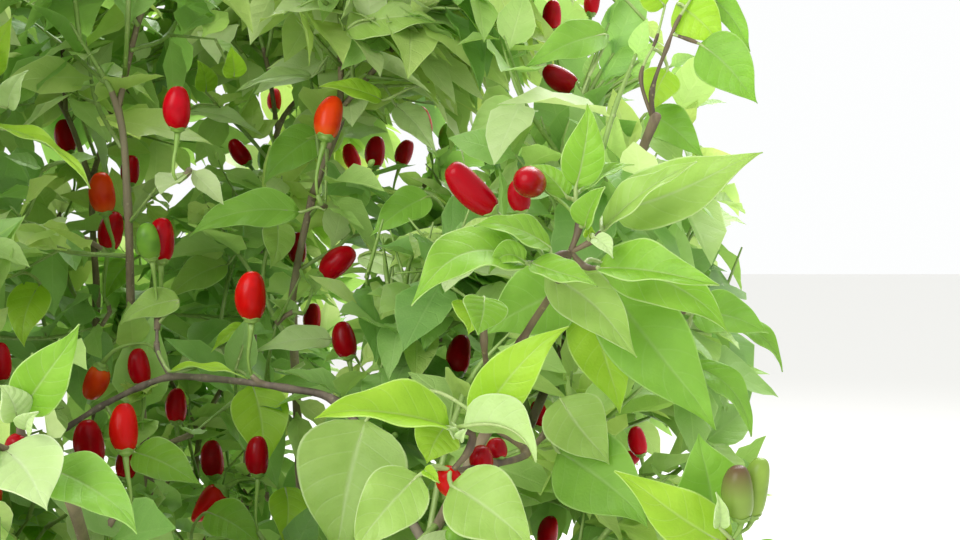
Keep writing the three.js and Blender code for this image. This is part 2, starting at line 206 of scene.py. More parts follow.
# A smooth curve through points, in even steps: each gap is a cubic whose speed follows the gap's root
def spacedPoints(points, count):
    p = np.asarray(points, float)
    p = np.vstack([2 * p[0] - p[1], p, 2 * p[-1] - p[-2]])
    gaps = np.maximum(np.linalg.norm(np.diff(p, axis=0), axis=1), 0.01) ** 0.5
    t = np.linspace(0, 1, 101)[:, None]
    pieces = []
    for i in range(len(p) - 3):
        a, b, c, d = p[i:i + 4]
        before, here, after = gaps[i:i + 3]
        leave = ((b - a) / before - (c - a) / (before + here) + (c - b) / here) * here
        arrive = ((c - b) / here - (d - b) / (here + after) + (d - c) / after) * here
        square, cube = 3 * (c - b) - 2 * leave - arrive, 2 * (b - c) + leave + arrive
        pieces.append(b + leave * t + square * t**2 + cube * t**3)
    fine = np.vstack(pieces)
    run = np.concatenate([[0], np.cumsum(np.linalg.norm(np.diff(fine, axis=0), axis=1))])
    want = np.linspace(0, run[-1], count)
    return np.stack([np.interp(want, run, fine[:, k]) for k in range(3)], axis=1)


def around(azimuth, reach, height):
    turn = math.radians(azimuth)
    return np.array([math.cos(turn) * reach, math.sin(turn) * reach, height])


limbs = []


# A limb's radius runs evenly from foot to tip; the stem's foot flares, and the flare fades with the height
def addLimb(name, points, sizes, kind):
    fine = spacedPoints(points, 400)
    share = np.linspace(0, 1, limbSizes["samples"] + 1)
    radii = sizes["foot"] + (sizes["tip"] - sizes["foot"]) * share
    if kind == "stem":
        radii = radii + sizes["flare"] * np.exp(-share * sizes["height"] / sizes["flareHeight"])
    limb = {
        "name": name, "points": points, "kind": kind, "tip": np.asarray(points[-1], float),
        "heading": unit(fine[-1] - fine[-2]), "samples": spacedPoints(points, len(share)), "radii": radii,
    }
    limbs.append(limb)
    return limb


# A bough starts inside its parent's tip and bows outwards at its knee
def forkLimb(name, parent, tip, sizes, kind):
    start = parent["tip"] - parent["heading"] * sizes["foot"] * limbSizes["overlap"]
    knee = start + (tip - start) * limbSizes["kneeAt"]
    knee = knee + np.array([tip[0] - start[0], tip[1] - start[1], 0]) * limbSizes["bow"]
    return addLimb(name, [start, knee, tip], sizes, kind)


# A mass of foliage or a spray: its oval space, how its twigs grow, and all that grows in it
def newMass(seed, middle, half, lift, twig, **more):
    return {
        "seed": seed, "middle": middle, "half": half, "lift": lift, "twig": twig, "twigs": [], "stems": [],
        "leaves": [], "fruits": [], "planes": np.zeros((0, 3)), "halfway": np.zeros(0), **more,
    }


stemLimb = addLimb("main_stem", stemPoints, limbSizes["stem"], "stem")
wanderDraw = draws(limbSizes["wanderSeed"])


def stray():
    return (wanderDraw() - 0.5) * 2 * limbSizes["wander"]


def strayTip(azimuth, reach, height):
    return around(azimuth + stray(), reach, height + stray())


forks = []
masses = []
stepAzimuth = 360 / limbSizes["columns"]
for i in range(limbSizes["columns"] // 2):
    between = limbSizes["firstAzimuth"] + (i * 2 + 0.5) * stepAzimuth
    mainTip = strayTip(between, limbSizes["main"]["reach"], limbSizes["main"]["height"])
    main = forkLimb(f"main_bough_{i + 1}", stemLimb, mainTip, limbSizes["main"], "woody")
    for j in range(2):
        column = i * 2 + j
        azimuth = limbSizes["firstAzimuth"] + column * stepAzimuth
        sideTip = strayTip(azimuth, limbSizes["side"]["reach"], limbSizes["side"]["height"])
        side = forkLimb(f"side_bough_{column + 1}", main, sideTip, limbSizes["side"], "woody")
        forks.append(side)
        for level, storey in enumerate(storeys):
            heading = azimuth + storey["turn"]
            tip = around(heading, storey["bough"][0] + stray(), storey["bough"][1] + stray())
            bough = forkLimb(f"{storey['name']}_bough_{column + 1}", side, tip, limbSizes["upper"], "young")
            middle = around(heading, storey["middle"][0] + stray() / 2, storey["middle"][1] + stray())
            masses.append(newMass(
                1 + column * len(storeys) + level, middle, storey["half"], storey["lift"], storey["twig"],
                name=f"{storey['name']}_foliage_{column + 1}", storey=storey["name"], bough=bough,
            ))
shootBoughs = {
    name: forkLimb(
        f"{name}_bough", forks[shoot["fork"]], np.array(shoot["tip"], float), limbSizes["shoot"], "young",
    )
    for name, shoot in shootTips.items()
}
limbPoints = np.vstack([limb["samples"] for limb in limbs])
limbRadii = np.concatenate([limb["radii"] for limb in limbs])
keepOut = np.array([space for shoot in shootTips.values() for space in shoot["spaces"]], float)
print("stage:", len(limbs), "limbs,", len(masses), "masses")

# Growth: the solids' rule for twigs and leaves, carried on to finer twigs

growth = {
    "levels": 4, "fineLevels": 6, "shrink": 0.86, "least": 0.85, "varies": 0.3, "turnBack": 0.8,
    "radius": 2.2, "thin": 0.88, "fineThin": 0.8, "rootThin": 0.9, "tipTaper": 0.45, "fork": 33.0,
    "forkLeast": 0.8, "forkVaries": 0.4, "twist": 50.0, "outward": 0.2, "collar": 4.0, "root": 3.0,
    "clearGap": 0.3, "spaceGap": 2.0, "leafGap": 7.0, "fineLeafGap": 3.0, "twigGap": 4.0,
    "fineSlack": 12.0, "leafSlack": 18.0, "fruitSlack": 24.0, "sideTwigs": (0.3, 0.55, 0.8),
    "sideAhead": 0.55, "sideRise": 0.15, "sideOut": 1.5,
    "boughTwigs": {"lower": 5, "middle": 7, "upper": 10}, "boughFrom": 0.3, "boughTo": 0.97,
    "boughSlack": 60.0, "guide": (0.3, 0.5, 0.2), "boxSlack": 14.0, "pruneFrom": 3, "reachShare": 0.36,
    "reachSlack": 34.0, "reachOut": 0.7,
}
# What keeps the draws of one mass, twig and purpose apart from all others
seeds = {
    "mass": 4096, "leaves": 2048, "fineLeaves": 3072, "side": 256, "bough": 512, "spray": 40, "dent": 60,
}
leafRule = {
    "length": 64.0, "spread": 0.4, "share": 0.44, "broadLeast": 0.9, "broadVaries": 0.25, "widest": 0.42,
    "droop": 0.16, "forward": 0.45, "outward": 0.5, "rise": -0.35, "stray": 0.9, "lightOutward": 0.55,
    "atFork": 1, "atTip": 3, "below": 3.0, "step": 5.0, "scatter": 110.0, "tries": 3, "apart": 10.0,
    "fineLength": 50.0, "fineBroad": 1.1, "fineAlong": 2, "fineAtFork": 3, "fineAtTip": 4,
    "fineApart": 5.0, "fineBelow": 1.5, "fineStep": 5.5, "retryTurn": 60.0, "nearby": 90.0, "testRows": 8,
    "backFrom": 0.3, "backStep": 0.35, "backVaries": 0.15, "youngFrom": 0.5, "youngStep": 0.2,
}
fruitRule = {
    "length": 20.0, "least": 0.85, "varies": 0.3, "width": 10.5, "stalk": 24.0, "chance": 0.17,
    "splay": 0.45, "below": 6.0, "apart": 8.0, "fineChance": 0.07, "outerChance": 0.3, "outer": 0.72,
    "greenFrom": 700.0, "crown": (0.0, 0.0, 570.0), "crownHalf": (330.0, 330.0, 310.0), "budChance": 0.12,
}

# Near shoots: the photo's sharp sprigs. A twig has its shoot, its radii and its places, and a place is the
# tip of the bough that carries the shoot, or a pixel and a depth
shootTwigs = [
    ("near_shoots", (1.9, 1.7, 1.5, 1.3), ("tip", (520, 345, 462), (556, 286, 443), (570, 253, 430))),
    ("near_shoots", (1.3, 1.15, 0.95), ((570, 253, 430), (579, 226, 429), (576, 202, 430))),
    ("near_shoots", (1.1, 0.95, 0.8), ((571, 252, 430), (593, 240, 428), (602, 230, 430))),
    ("near_shoots", (1.2, 1.1, 0.95, 0.9), (
        (570, 253, 430), (560, 255, 426), (545, 262, 421), (527, 263, 416))),
    ("near_shoots", (1.1, 1.0, 0.9), ((571, 252, 430), (584, 266, 432), (600, 268, 426))),
    ("near_shoots", (1.4, 1.2, 1.1, 0.9), (
        (556, 286, 443), (598, 292, 460), (642, 304, 466), (692, 314, 470))),
    ("near_shoots", (1.6, 1.4, 1.2, 1.2), ("tip", (488, 380, 470), (484, 340, 456), (486, 304, 453))),
    ("near_shoots", (1.9, 1.6, 1.4, 1.2), ("tip", (526, 452, 456), (490, 465, 434), (451, 471, 418))),
    ("near_shoots", (1.2, 1.1, 1.0, 0.8), (
        (453, 470, 418), (469, 450, 420), (472, 434, 421), (458, 431, 419))),
    ("near_shoots", (1.5, 1.2, 1.0), ((526, 452, 456), (546, 432, 470), (560, 404, 474))),
    ("left_shoot", (1.9, 1.6, 1.3, 1.3), ("tip", (48, 470, 402), (22, 440, 381), (20, 418, 379))),
    ("left_shoot", (1.2, 1.0, 0.8), ((24, 444, 382), (8, 450, 375), (-10, 440, 370))),
    ("right_shoot", (2.1, 1.9, 1.7, 1.7), ("tip", (696, 572, 452), (722, 550, 438), (732, 540, 434))),
    ("top_shoot", (1.6, 1.15, 0.95, 0.8, 0.8), (
        "tip", (652, 92, 572), (667, 47, 570), (677, 22, 570), (692, -3, 570))),
    ("top_shoot", (1.3, 0.9, 0.7, 0.7), ("tip", (641, 76, 578), (656, 40, 582), (665, 6, 584))),
    ("top_shoot", (0.9, 0.8, 0.7), ((672, 34, 570), (690, 40, 569), (700, 44, 568))),
]

# A leaf: foot and tip with their depths, width, then in degrees how far its face looks up from the camera
# and how far its halves fold up, then its bulge in the picture and along its face as a percentage of its
# length, and tint
shootLeaves = [
    (576, 187, 431, 590, 104, 428, 44, 8, 12, 2, 3, "sprig"),
    (612, 212, 446, 760, 146, 432, 66, 18, 16, -6, 4, "soft"),
    (604, 229, 432, 696, 162, 418, 44, 52, 26, 3, 3, "soft"),
    (579, 191, 435, 633, 162, 437, 30, 62, 18, 2, 4, "sprig"),
    (567, 197, 437, 531, 163, 441, 28, 24, 12, 4, 4, "sprig"),
    (585, 227, 425, 603, 186, 418, 36, 34, 42, 3, 4, "sprig"),
    (551, 248, 420, 475, 222, 410, 42, 50, 14, 5, 4, "sprig"),
    (527, 263, 418, 414, 306, 396, 66, 38, 14, 19, 5, "sprig"),
    (525, 262, 413, 489, 272, 406, 30, 26, 34, 24, 6, "sprig"),
    (531, 263, 416, 599, 283, 406, 42, 52, 18, -4, 3, "sprig"),
    (600, 268, 424, 717, 286, 402, 60, 38, 38, 1, 4, "sprig"),
    (600, 262, 442, 731, 328, 426, 60, 8, 10, 8, 3, "sprig"),
    (594, 238, 418, 612, 258, 411, 20, 24, 22, 8, 6, "pale"),
    (588, 237, 426, 590, 223, 423, 13, 10, 40, 0, 3, "lime"),
    (545, 274, 442, 634, 360, 434, 58, 8, 10, 9, 3, "soft"),
    (608, 284, 464, 721, 427, 450, 84, 4, 9, -2, 4, "mid"),
    (692, 312, 472, 768, 334, 460, 50, 28, 12, 6, 4, "mid"),
    (718, 320, 478, 785, 369, 472, 32, 48, 14, 12, 5, "mid"),
    (690, 366, 470, 751, 437, 460, 38, 42, 14, 14, 5, "mid"),
    (560, 398, 473, 612, 462, 464, 66, 8, 10, -5, 4, "soft"),
    (572, 288, 480, 484, 332, 470, 76, 4, 8, 3, 3, "mid"),
    (592, 300, 482, 624, 412, 474, 66, 4, 8, -3, 4, "lime"),
    (449, 427, 419, 315, 412, 402, 68, 40, 42, 3, 3, "lime"),
    (477, 425, 424, 565, 324, 415, 54, 2, 8, 5, 3, "lime"),
    (464, 426, 414, 538, 459, 404, 62, 136, 40, 14, 8, "pale"),
    (447, 425, 424, 428, 464, 420, 50, 6, 10, 8, 4, "lime"),
    (455, 436, 416, 447, 428, 411, 12, 20, 36, 6, 4, "pale"),
    (460, 440, 414, 466, 429, 410, 12, 20, 36, 4, 4, "pale"),
    (419, 475, 414, 352, 553, 402, 66, 12, 12, 2, 4, "soft"),
    (451, 485, 412, 534, 549, 400, 78, 8, 12, 3, 4, "soft"),
    (424, 470, 410, 439, 483, 406, 15, 16, 40, 4, 4, "lime"),
    (366, 420, 522, 338, 560, 506, 112, 10, 8, 3, 3, "soft"),
    (484, 297, 452, 477, 334, 444, 48, 14, 16, 4, 4, "sprig"),
    (558, 452, 476, 650, 524, 458, 84, 4, 9, 4, 3, "mid"),
    (21, 412, 380, 82, 328, 370, 54, 4, 14, 1, 3, "sprig"),
    (46, 468, 386, 140, 528, 370, 60, 22, 12, 4, 4, "mid"),
    (3, 449, 374, 44, 510, 360, 84, 20, 10, 6, 4, "pale"),
    (26, 430, 374, 37, 412, 368, 24, 20, 34, 8, 5, "pale"),
    (17, 420, 376, 1, 384, 370, 38, 26, 12, 5, 4, "pale"),
    (-8, 442, 370, -52, 470, 362, 60, 20, 12, 5, 4, "sprig"),
    (730, 546, 436, 619, 467, 422, 60, 8, 10, -4, 4, "lime"),
    (714, 524, 448, 696, 435, 440, 78, 8, 12, 3, 3, "mid"),
    (719, 527, 430, 718, 493, 423, 20, 10, 46, 4, 4, "pale"),
    (742, 556, 440, 800, 590, 428, 52, 24, 10, 5, 4, "mid"),
    (700, 44, 568, 755, 105, 558, 56, 4, 12, 6, 4, "mid"),
    (676, 4, 574, 722, 47, 568, 50, 4, 10, 6, 3, "lime"),
    (706, -6, 580, 749, 52, 574, 28, 24, 14, 7, 4, "mid"),
    (668, 70, 590, 650, 113, 584, 40, 8, 10, 4, 3, "lime"),
    (692, -3, 570, 700, -52, 566, 40, 10, 12, 3, 4, "sprig"),
    (665, 6, 584, 630, -22, 580, 38, 20, 12, 4, 4, "lime"),
]

# A near fruit: cup end and tip with their depths, its width in pixels, the pixel and depth its stalk leaves,
# its tint, how full its barrel is (the lower the fuller) and how much wider it is at its shoulder
shootFruits = [
    (493, 211, 431, 450, 166, 424, 31, (545, 258, 424), "dark", 0.56, 0.04),
    (537, 185, 437, 525, 179, 421, 31, (579, 222, 429), "dark", 0.8, 0.1),
    (522, 212, 452, 518, 179, 450, 23, (545, 260, 428), "dark", 0.7, 0.1),
    (456, 492, 424, 445, 470, 417, 27, (452, 470, 419), "scarlet", 0.75, 0.1),
    (484, 472, 430, 480, 446, 428, 24, (490, 465, 434), "dark", 0.75, 0.1),
    (499, 460, 440, 495, 438, 442, 22, (500, 462, 440), "dark", 0.75, 0.1),
    (20, 462, 384, 16, 436, 378, 24, (24, 446, 383), "dark", 0.75, 0.1),
    (741, 519, 434, 738, 466, 430, 32, (731, 543, 434), "unripe", 0.72, 0.1),
    (752, 517, 440, 762, 458, 437, 27, (733, 540, 435), "young", 0.72, 0.1),
]
shootSizes = {
    "petiole": 0.75, "midrib": 0.62, "ribTip": 0.16, "rows": 22, "thickness": 0.4, "wave": 0.03,
    "quilt": 0.3, "baseRound": 0.66, "tipPoint": 1.34, "hook": 0.035, "hookFrom": 0.72, "foot": 0.5,
    "sunk": 3.0, "twigShare": 0.78,
    "columns": (
        -1, -0.955, -0.8, -0.62, -0.44, -0.27, -0.13, -0.04, 0.04, 0.13, 0.27, 0.44, 0.62, 0.8, 0.955, 1,
    ),
}


# The sprigs' twigs as paths in space
def shootPath(shoot, radii, places):
    tip = shootBoughs[shoot]["tip"] - shootBoughs[shoot]["heading"] * shootSizes["sunk"]
    points = [tip if place == "tip" else photoPoint(*place) for place in places]
    return {"points": np.array(points), "radii": radii}


twigPaths = [shootPath(*row) for row in shootTwigs]
carriers = np.vstack([spacedPoints(path["points"], 12) for path in twigPaths])


# A near leaf's centre line: the chord from foot to tip plus its two bulges, largest halfway along
def shootLeaf(row):
    u0, v0, d0, u1, v1, d1, pixels, faceUp, fold, bow, arch, tint = row
    foot, tip = photoPoint(u0, v0, d0), photoPoint(u1, v1, d1)
    along = unit(tip - foot)
    towards = unit(cameraPlace - foot)
    towards = unit(towards - along * np.dot(towards, along))
    upper = np.cross(along, towards)
    upper = upper * (1 if np.dot(upper, viewUp + viewRight * 0.2) > 0 else -1)
    turn = math.radians(faceUp)
    normal = towards * math.cos(turn) + upper * math.sin(turn)
    return {
        "base": foot, "along": along, "length": span(foot, tip), "normal": normal,
        "width": pixels * d0 / focalPixels,
        "bulge": upper * bow / 100 + normal * arch / 100, "fold": math.radians(fold), "tint": tint,
    }


nearLeaves = [shootLeaf(row) for row in shootLeaves]
nearFruits = []
for u0, v0, d0, u1, v1, d1, pixels, stalkPlace, tint, barrel, shoulder in shootFruits:
    base, tip, foot = photoPoint(u0, v0, d0), photoPoint(u1, v1, d1), photoPoint(*stalkPlace)
    nearFruits.append({
        "base": base, "axis": unit(tip - base), "length": span(base, tip), "foot": foot,
        "leaving": unit(base - foot) + up * 0.6, "width": pixels * d0 / focalPixels,
        "tint": tint, "barrel": barrel, "shoulder": shoulder,
    })


# Fruit that the photo shows further in: its middle and length in pixels, its lean to the right in degrees,
# its tint
photoFruit = [
    (66, 136, 34, -8, "crimson"), (103, 193, 42, -4, "orange"), (131, 170, 30, 5, "crimson"),
    (112, 231, 40, 10, "crimson"), (162, 240, 45, 2, "crimson"), (149, 241, 38, -6, "green"),
    (178, 108, 44, 4, "crimson"), (275, 100, 24, 0, "crimson"), (240, 152, 30, -35, "crimson"),
    (252, 296, 50, 2, "scarlet"), (330, 118, 46, 12, "orange"), (376, 152, 32, 6, "crimson"),
    (352, 157, 28, -20, "crimson"), (313, 318, 30, 4, "crimson"), (338, 263, 42, 50, "crimson"),
    (345, 340, 38, -12, "dark"), (298, 248, 32, 0, "dark"), (560, 78, 38, -60, "dark"),
    (423, 122, 32, -12, "orange"), (463, 90, 22, 0, "orange"), (405, 153, 28, 20, "dark"),
    (460, 355, 42, 8, "crimson"), (125, 428, 50, -4, "scarlet"), (90, 443, 48, -6, "crimson"),
    (128, 462, 36, 6, "dark"), (140, 367, 38, -10, "crimson"), (95, 382, 38, -156, "orange"),
    (177, 406, 36, -3, "crimson"), (213, 459, 38, -8, "crimson"), (208, 505, 44, -135, "scarlet"),
    (258, 456, 40, 0, "dark"), (0, 362, 40, 0, "crimson"), (549, 533, 36, 8, "crimson"),
    (638, 441, 30, -12, "crimson"), (627, 461, 28, 60, "dark"), (540, 414, 28, -20, "crimson"),
    (655, 100, 28, 0, "orange"), (716, 245, 30, -10, "orange"), (553, 15, 30, 0, "crimson"),
    (593, 2, 28, 10, "crimson"),
]
# A grey-brown branch that crosses the picture, with a side stem: each place is a pixel and a depth, and the
# first is taken to the closest point of the limbs
photoBoughs = [
    {"radii": (2.0, 1.75, 1.5, 1.4, 1.35, 1.3, 1.2, 1.1, 0.9), "path": (
        (430, 424, 560), (335, 401, 566), (285, 388, 572), (205, 378, 576), (170, 377, 576), (140, 387, 574),
        (100, 407, 570), (68, 427, 566), (34, 452, 560))},
    {"radii": (1.0, 0.9, 0.7), "path": ((170, 377, 576), (158, 352, 582), (157, 325, 588))},
]
fruitSeek = {
    "depths": (0.7, 0.8, 0.9, 1, 1.1, 1.2, 1.32, 1.45), "strayCost": 40.0, "furthest": 75.0,
    "stalk": (20.0, 28.0), "edge": 20.0, "seed": 71, "least": 0.92, "varies": 0.16, "broad": 1.1,
    "broadVaries": 0.14, "ahead": 0.5, "sizePower": 0.6, "rise": 0.8, "clear": 6, "sunk": 2,
    "spurBend": 0.18, "bendReach": 40, "upright": (0.78, 0.14), "hanging": (0.9, 1.0),
    "spurRadii": (1.5, 1.25, 1.1),
}

# Leaves that the photo shows further in: foot and tip in pixels, width in pixels, how far the face looks up
# and the halves fold, tint, and the depth round which a twig is sought for the stalk
photoLeaves = [
    (252, 384, 262, 470, 58, 6, 12, "lime", 640), (332, 340, 256, 352, 34, 40, 16, "pale", 640),
    (170, 371, 246, 378, 15, 60, 20, "lime", 572), (246, 326, 212, 352, 16, 30, 22, "lime", 620),
    (40, 284, 22, 346, 42, 14, 12, "lime", 640), (277, 222, 272, 268, 34, 10, 12, "soft", 700),
    (358, 257, 414, 291, 24, 24, 14, "pale", 640), (228, 264, 166, 300, 38, 26, 12, "soft", 660),
    (285, 487, 282, 545, 40, 10, 10, "lime", 560), (206, 512, 262, 548, 44, 16, 12, "sprig", 580),
    (134, 452, 200, 486, 46, 22, 12, "sprig", 600), (34, 512, 38, 556, 42, 16, 12, "sprig", 560),
    (382, 100, 320, 84, 24, 34, 18, "lime", 640), (346, 30, 440, 20, 46, 30, 14, "soft", 620),
    (396, 106, 434, 152, 32, 20, 12, "pale", 640), (312, 76, 236, 92, 20, 50, 18, "pale", 680),
    (186, 112, 262, 136, 22, 44, 18, "pale", 680), (-12, 126, 94, 184, 22, 56, 24, "lime", 560),
    (-8, 76, 14, 18, 30, 12, 16, "lime", 560), (8, 108, 26, 70, 26, 14, 30, "pale", 560),
    (206, 92, 198, 60, 24, 10, 12, "lime", 700), (234, 78, 230, 46, 24, 10, 12, "lime", 700),
    (320, 134, 262, 182, 44, 20, 12, "mid", 700), (608, 34, 528, 68, 44, 26, 14, "mid", 660),
    (300, 212, 188, 232, 44, 30, 14, "mid", 640), (130, 262, 106, 300, 30, 20, 14, "sprig", 700),
    (180, 300, 120, 322, 34, 28, 14, "soft", 680), (430, 196, 372, 236, 40, 24, 12, "mid", 640),
    (648, 112, 702, 158, 42, 20, 12, "mid", 640), (466, 300, 470, 334, 40, 14, 20, "lime", 520),
]
leafSeek = {
    "shares": (0.82, 0.88, 0.94, 1, 1.06, 1.12, 1.18), "strayCost": 90.0, "stalk": 16.0, "furthest": 60.0,
    "edge": 10.0, "tipNearer": 14.0, "clear": 18, "bow": 3, "bowVaries": 4, "arch": 4,
}

# What stays in sight of the camera: the photo's fruit and near sprigs, each a spot with a reach in pixels
# and a depth, and windows in the picture: left and upper edge, right and lower edge, and the depth up to
# which they stay open
spotRule = {
    "fruit": 0.44, "leaf": 0.36, "clear": 4.0, "bough": 5.0, "nearer": 1.08, "leafNearer": 0.88,
    "leafShares": (0.12, 0.35, 0.6, 0.85), "fruitShares": (0.2, 0.8), "innerShares": (0.15, 0.45, 0.75),
}
openWindows = [
    (752, -80, 1000, 345, 3000), (-40, -60, 440, 150, 590), (664, 12, 700, 52, 3000),
    (702, 106, 760, 142, 3000), (-40, 150, 300, 300, 520),
]
spots = [(u, v, pixels * spotRule["fruit"], focalPixels * fruitRule["length"] / pixels * spotRule["nearer"])
         for u, v, pixels, lean, tint in photoFruit]
spotLines = []
for leaf in nearLeaves:
    share = np.array(spotRule["leafShares"])[:, None]
    line = leaf["base"] + leaf["length"] * (leaf["along"] * share + leaf["bulge"] * 4 * share * (1 - share))
    spotLines.append((line, leaf["width"] * spotRule["leaf"]))
for fruit in nearFruits:
    share = np.array(spotRule["fruitShares"])[:, None]
    spotLines.append((fruit["base"] + fruit["axis"] * fruit["length"] * share, fruit["width"] * 0.5))
firstLeafSpot = len(photoFruit) + sum(len(line) for line, reach in spotLines)
for u0, v0, u1, v1, pixels, faceUp, fold, tint, depth in photoLeaves:
    share = np.array(spotRule["innerShares"])[:, None]
    foot, tip = (photoPoint(u, v, depth * spotRule["leafNearer"]) for u, v in ((u0, v0), (u1, v1)))
    spotLines.append((foot * (1 - share) + tip * share, pixels * depth / focalPixels * spotRule["leaf"]))
for line, reach in spotLines:
    for u, v, depth in zip(*photoPlace(line)):
        spots.append((u, v, reach * focalPixels / depth, depth - 4))
for bough in photoBoughs:
    line = [photoPoint(*place) for place in bough["path"]]
    for u, v, depth in zip(*photoPlace(spacedPoints(line, 9 if len(line) > 3 else 4)[1:])):
        spots.append((u, v, spotRule["bough"], depth - 8))
spotU, spotV, spotReach, spotDepth = np.array(spots, float).T
windowLeft, windowTop, windowRight, windowBottom, windowDepth = np.array(openWindows, float).T


# A thing hides a spot where one of its points is nearer to the camera and covers it, or stands in an open
# window
def hidesSpot(points):
    u, v, depth = photoPlace(points)
    reach = spotReach + spotRule["clear"]
    close = (spotU > u.min() - reach) & (spotU < u.max() + reach) & (spotV > v.min() - reach)
    close &= (spotV < v.max() + reach) & (spotDepth > depth.min())
    if np.any(close):
        over = np.hypot(u[:, None] - spotU[close], v[:, None] - spotV[close]) < reach[close]
        if np.any(over & (depth[:, None] < spotDepth[close])):
            return True
    u, v, depth = (value[:, None] for value in (u, v, depth))
    within = (u > windowLeft) & (v > windowTop) & (u < windowRight) & (v < windowBottom)
    return bool(np.any(within & (depth < windowDepth)))


boxLow = np.array(cadBox[0]) / mm - growth["boxSlack"]
boxHigh = np.array(cadBox[1]) / mm + growth["boxSlack"]


def outsideBox(points, edge=0.0):
    return bool(np.any(points < boxLow + edge) or np.any(points > boxHigh - edge))


# A mass's own space is its oval, cut halfway to each neighbour, without the round spaces of the near shoots
def fits(mass, points, gap, slack=0.0):
    if slack > 0 and outsideBox(points):
        return False
    offset = points - mass["middle"]
    flat = np.hypot(offset[:, 0], offset[:, 1]) / (mass["half"][0] + slack)
    tall = offset[:, 2] / (mass["half"][1] + slack)
    if np.any(flat**2 + tall**2 > 1):
        return False
    if np.any(points @ mass["planes"].T - mass["halfway"] > slack - growth["spaceGap"] / 2):
        return False
    if np.any(distances(points, keepOut[:, :3]) <= keepOut[:, 3] + 1):
        return False
    return not np.any(distances(points, limbPoints) < limbRadii + gap)


def crowded(points, others, gap):
    return len(others) > 0 and bool(np.any(distances(points, others) < gap))


def alongTwig(start, end):
    share = np.array([0.25, 0.5, 0.75, 1])[:, None]
    return start + (end - start) * share


# Whether a fine twig is one of those that reach out of the mass's oval
def reachesOut(twig):
    return (twig["number"] * goldenShare) % 1 < growth["reachShare"]


# Grows one twig and the two that fork from its end; one of them carries its stem on
def growTwig(mass, start, direction, plane, number, level, stem, root, extra=0.0, parent=None):
    draw = draws(mass["seed"] * seeds["mass"] + number)
    twig = {"start": start, "number": number, "level": level, "extra": extra, "parent": parent,
            "used": False}
    fine = level >= growth["levels"]
    slack = (growth["fineSlack"] if fine else 0.0) + extra
    reach = mass["twig"] * growth["shrink"] ** level * (growth["least"] + draw() * growth["varies"])
    heading = unit(direction + up * mass["lift"] + outwardAt(start) * growth["outward"])
    if fine and reachesOut(twig):
        slack += growth["reachSlack"]
        heading = unit(heading + unit(start - mass["middle"]) * growth["reachOut"])
    end = start + heading * reach
    if level > 0 and not fits(mass, alongTwig(start, end), growth["twigGap"], slack):
        heading = unit(heading + unit(mass["middle"] - start))
        end = start + heading * reach * growth["turnBack"]
        if not fits(mass, alongTwig(start, end), growth["twigGap"], slack):
            return
    radius = growth["radius"] * growth["thin"] ** min(level, growth["levels"])
    radius *= growth["fineThin"] ** max(0, level - growth["levels"])
    across = unit(np.cross(heading, plane))
    if stem is None:
        stem = {"lead": [root], "leadRadii": [radius * growth["rootThin"]], "twigs": []}
        mass["stems"].append(stem)
    inside = alongTwig(start, end)
    cut = level >= growth["pruneFrom"] and hidesSpot(inside)
    twig.update({
        "end": end, "heading": heading, "across": across, "radius": radius * growth["thin"],
        "inside": inside, "cut": cut or (parent is not None and parent["cut"]),
    })
    stem["twigs"].append(twig)
    mass["twigs"].append(twig)
    if level == growth["fineLevels"] - 1:
        return
    for turn in (1, -1):
        angle = turn * growth["fork"] * (growth["forkLeast"] + draw() * growth["forkVaries"])
        child = turned(heading, plane, angle)
        nextPlane = turned(across, heading, (draw() - 0.5) * growth["twist"])
        rootPoint = end - heading * growth["root"]
        nextNumber = number * 2 + (1 if turn < 0 else 0)
        carry = stem if turn > 0 else None
        growTwig(mass, end, child, nextPlane, nextNumber, level + 1, carry, rootPoint, extra, twig)


# The leaf at a node leaves the twig to one side, droops a little and turns its face to the light
def nodeLeaf(base, heading, sideways, draw, length):
    outward = outwardAt(base)
    along = unit(sideways + heading * leafRule["forward"] + outward * leafRule["outward"]
                 + up * (leafRule["rise"] + (draw() - 0.5) * leafRule["stray"]))
    light = up + outward * leafRule["lightOutward"] + threeDraws(draw) * leafRule["stray"]
    side = unit(np.cross(light, along))
    normal = unit(np.cross(along, side))
    length = length * (1 + (draw() - 0.5) * leafRule["spread"])
    width = length * leafRule["share"] * (leafRule["broadLeast"] + draw() * leafRule["broadVaries"])
    return {"base": base, "along": along, "normal": normal, "length": length, "width": width}


# A leaf's test points: its centre line, which droops with the square of the way along, and its two edges
def bladePoints(leaf):
    share = np.repeat(np.arange(1, leafRule["testRows"] + 1) / leafRule["testRows"], 3)[:, None]
    across = np.tile([-1, 0, 1], leafRule["testRows"])[:, None]
    half = leaf["width"] / 2 * np.minimum(share / leafRule["widest"], (1 - share) / (1 - leafRule["widest"]))
    side = np.cross(leaf["along"], leaf["normal"])
    return (leaf["base"] + leaf["along"] * share * leaf["length"] + side * across * half
            - leaf["normal"] * leafRule["droop"] * leaf["length"] * share**2)


# The same grid with the points halfway between its points along each axis named
def halved(grid, *axes):
    for axis in axes:
        grid = np.moveaxis(grid, axis, 0)
        fine = np.zeros((len(grid) * 2 - 1, *grid.shape[1:]))
        fine[::2] = grid
        fine[1::2] = (grid[1:] + grid[:-1]) / 2
        grid = np.moveaxis(fine, 0, axis)
    return grid


# The points that stand for all of some leaves, for what they hide, halved once or more each way
def bladeGrid(leaves, times=1):
    grid = np.array([bladePoints(leaf) for leaf in leaves]).reshape(-1, leafRule["testRows"], 3, 3)
    return halved(grid, *[1] * times, *[2] * times).reshape(-1, 3)


def fruitLine(fruit):
    return fruit["base"] + fruit["axis"] * fruit["length"] * np.array([0, 0.5, 1])[:, None]


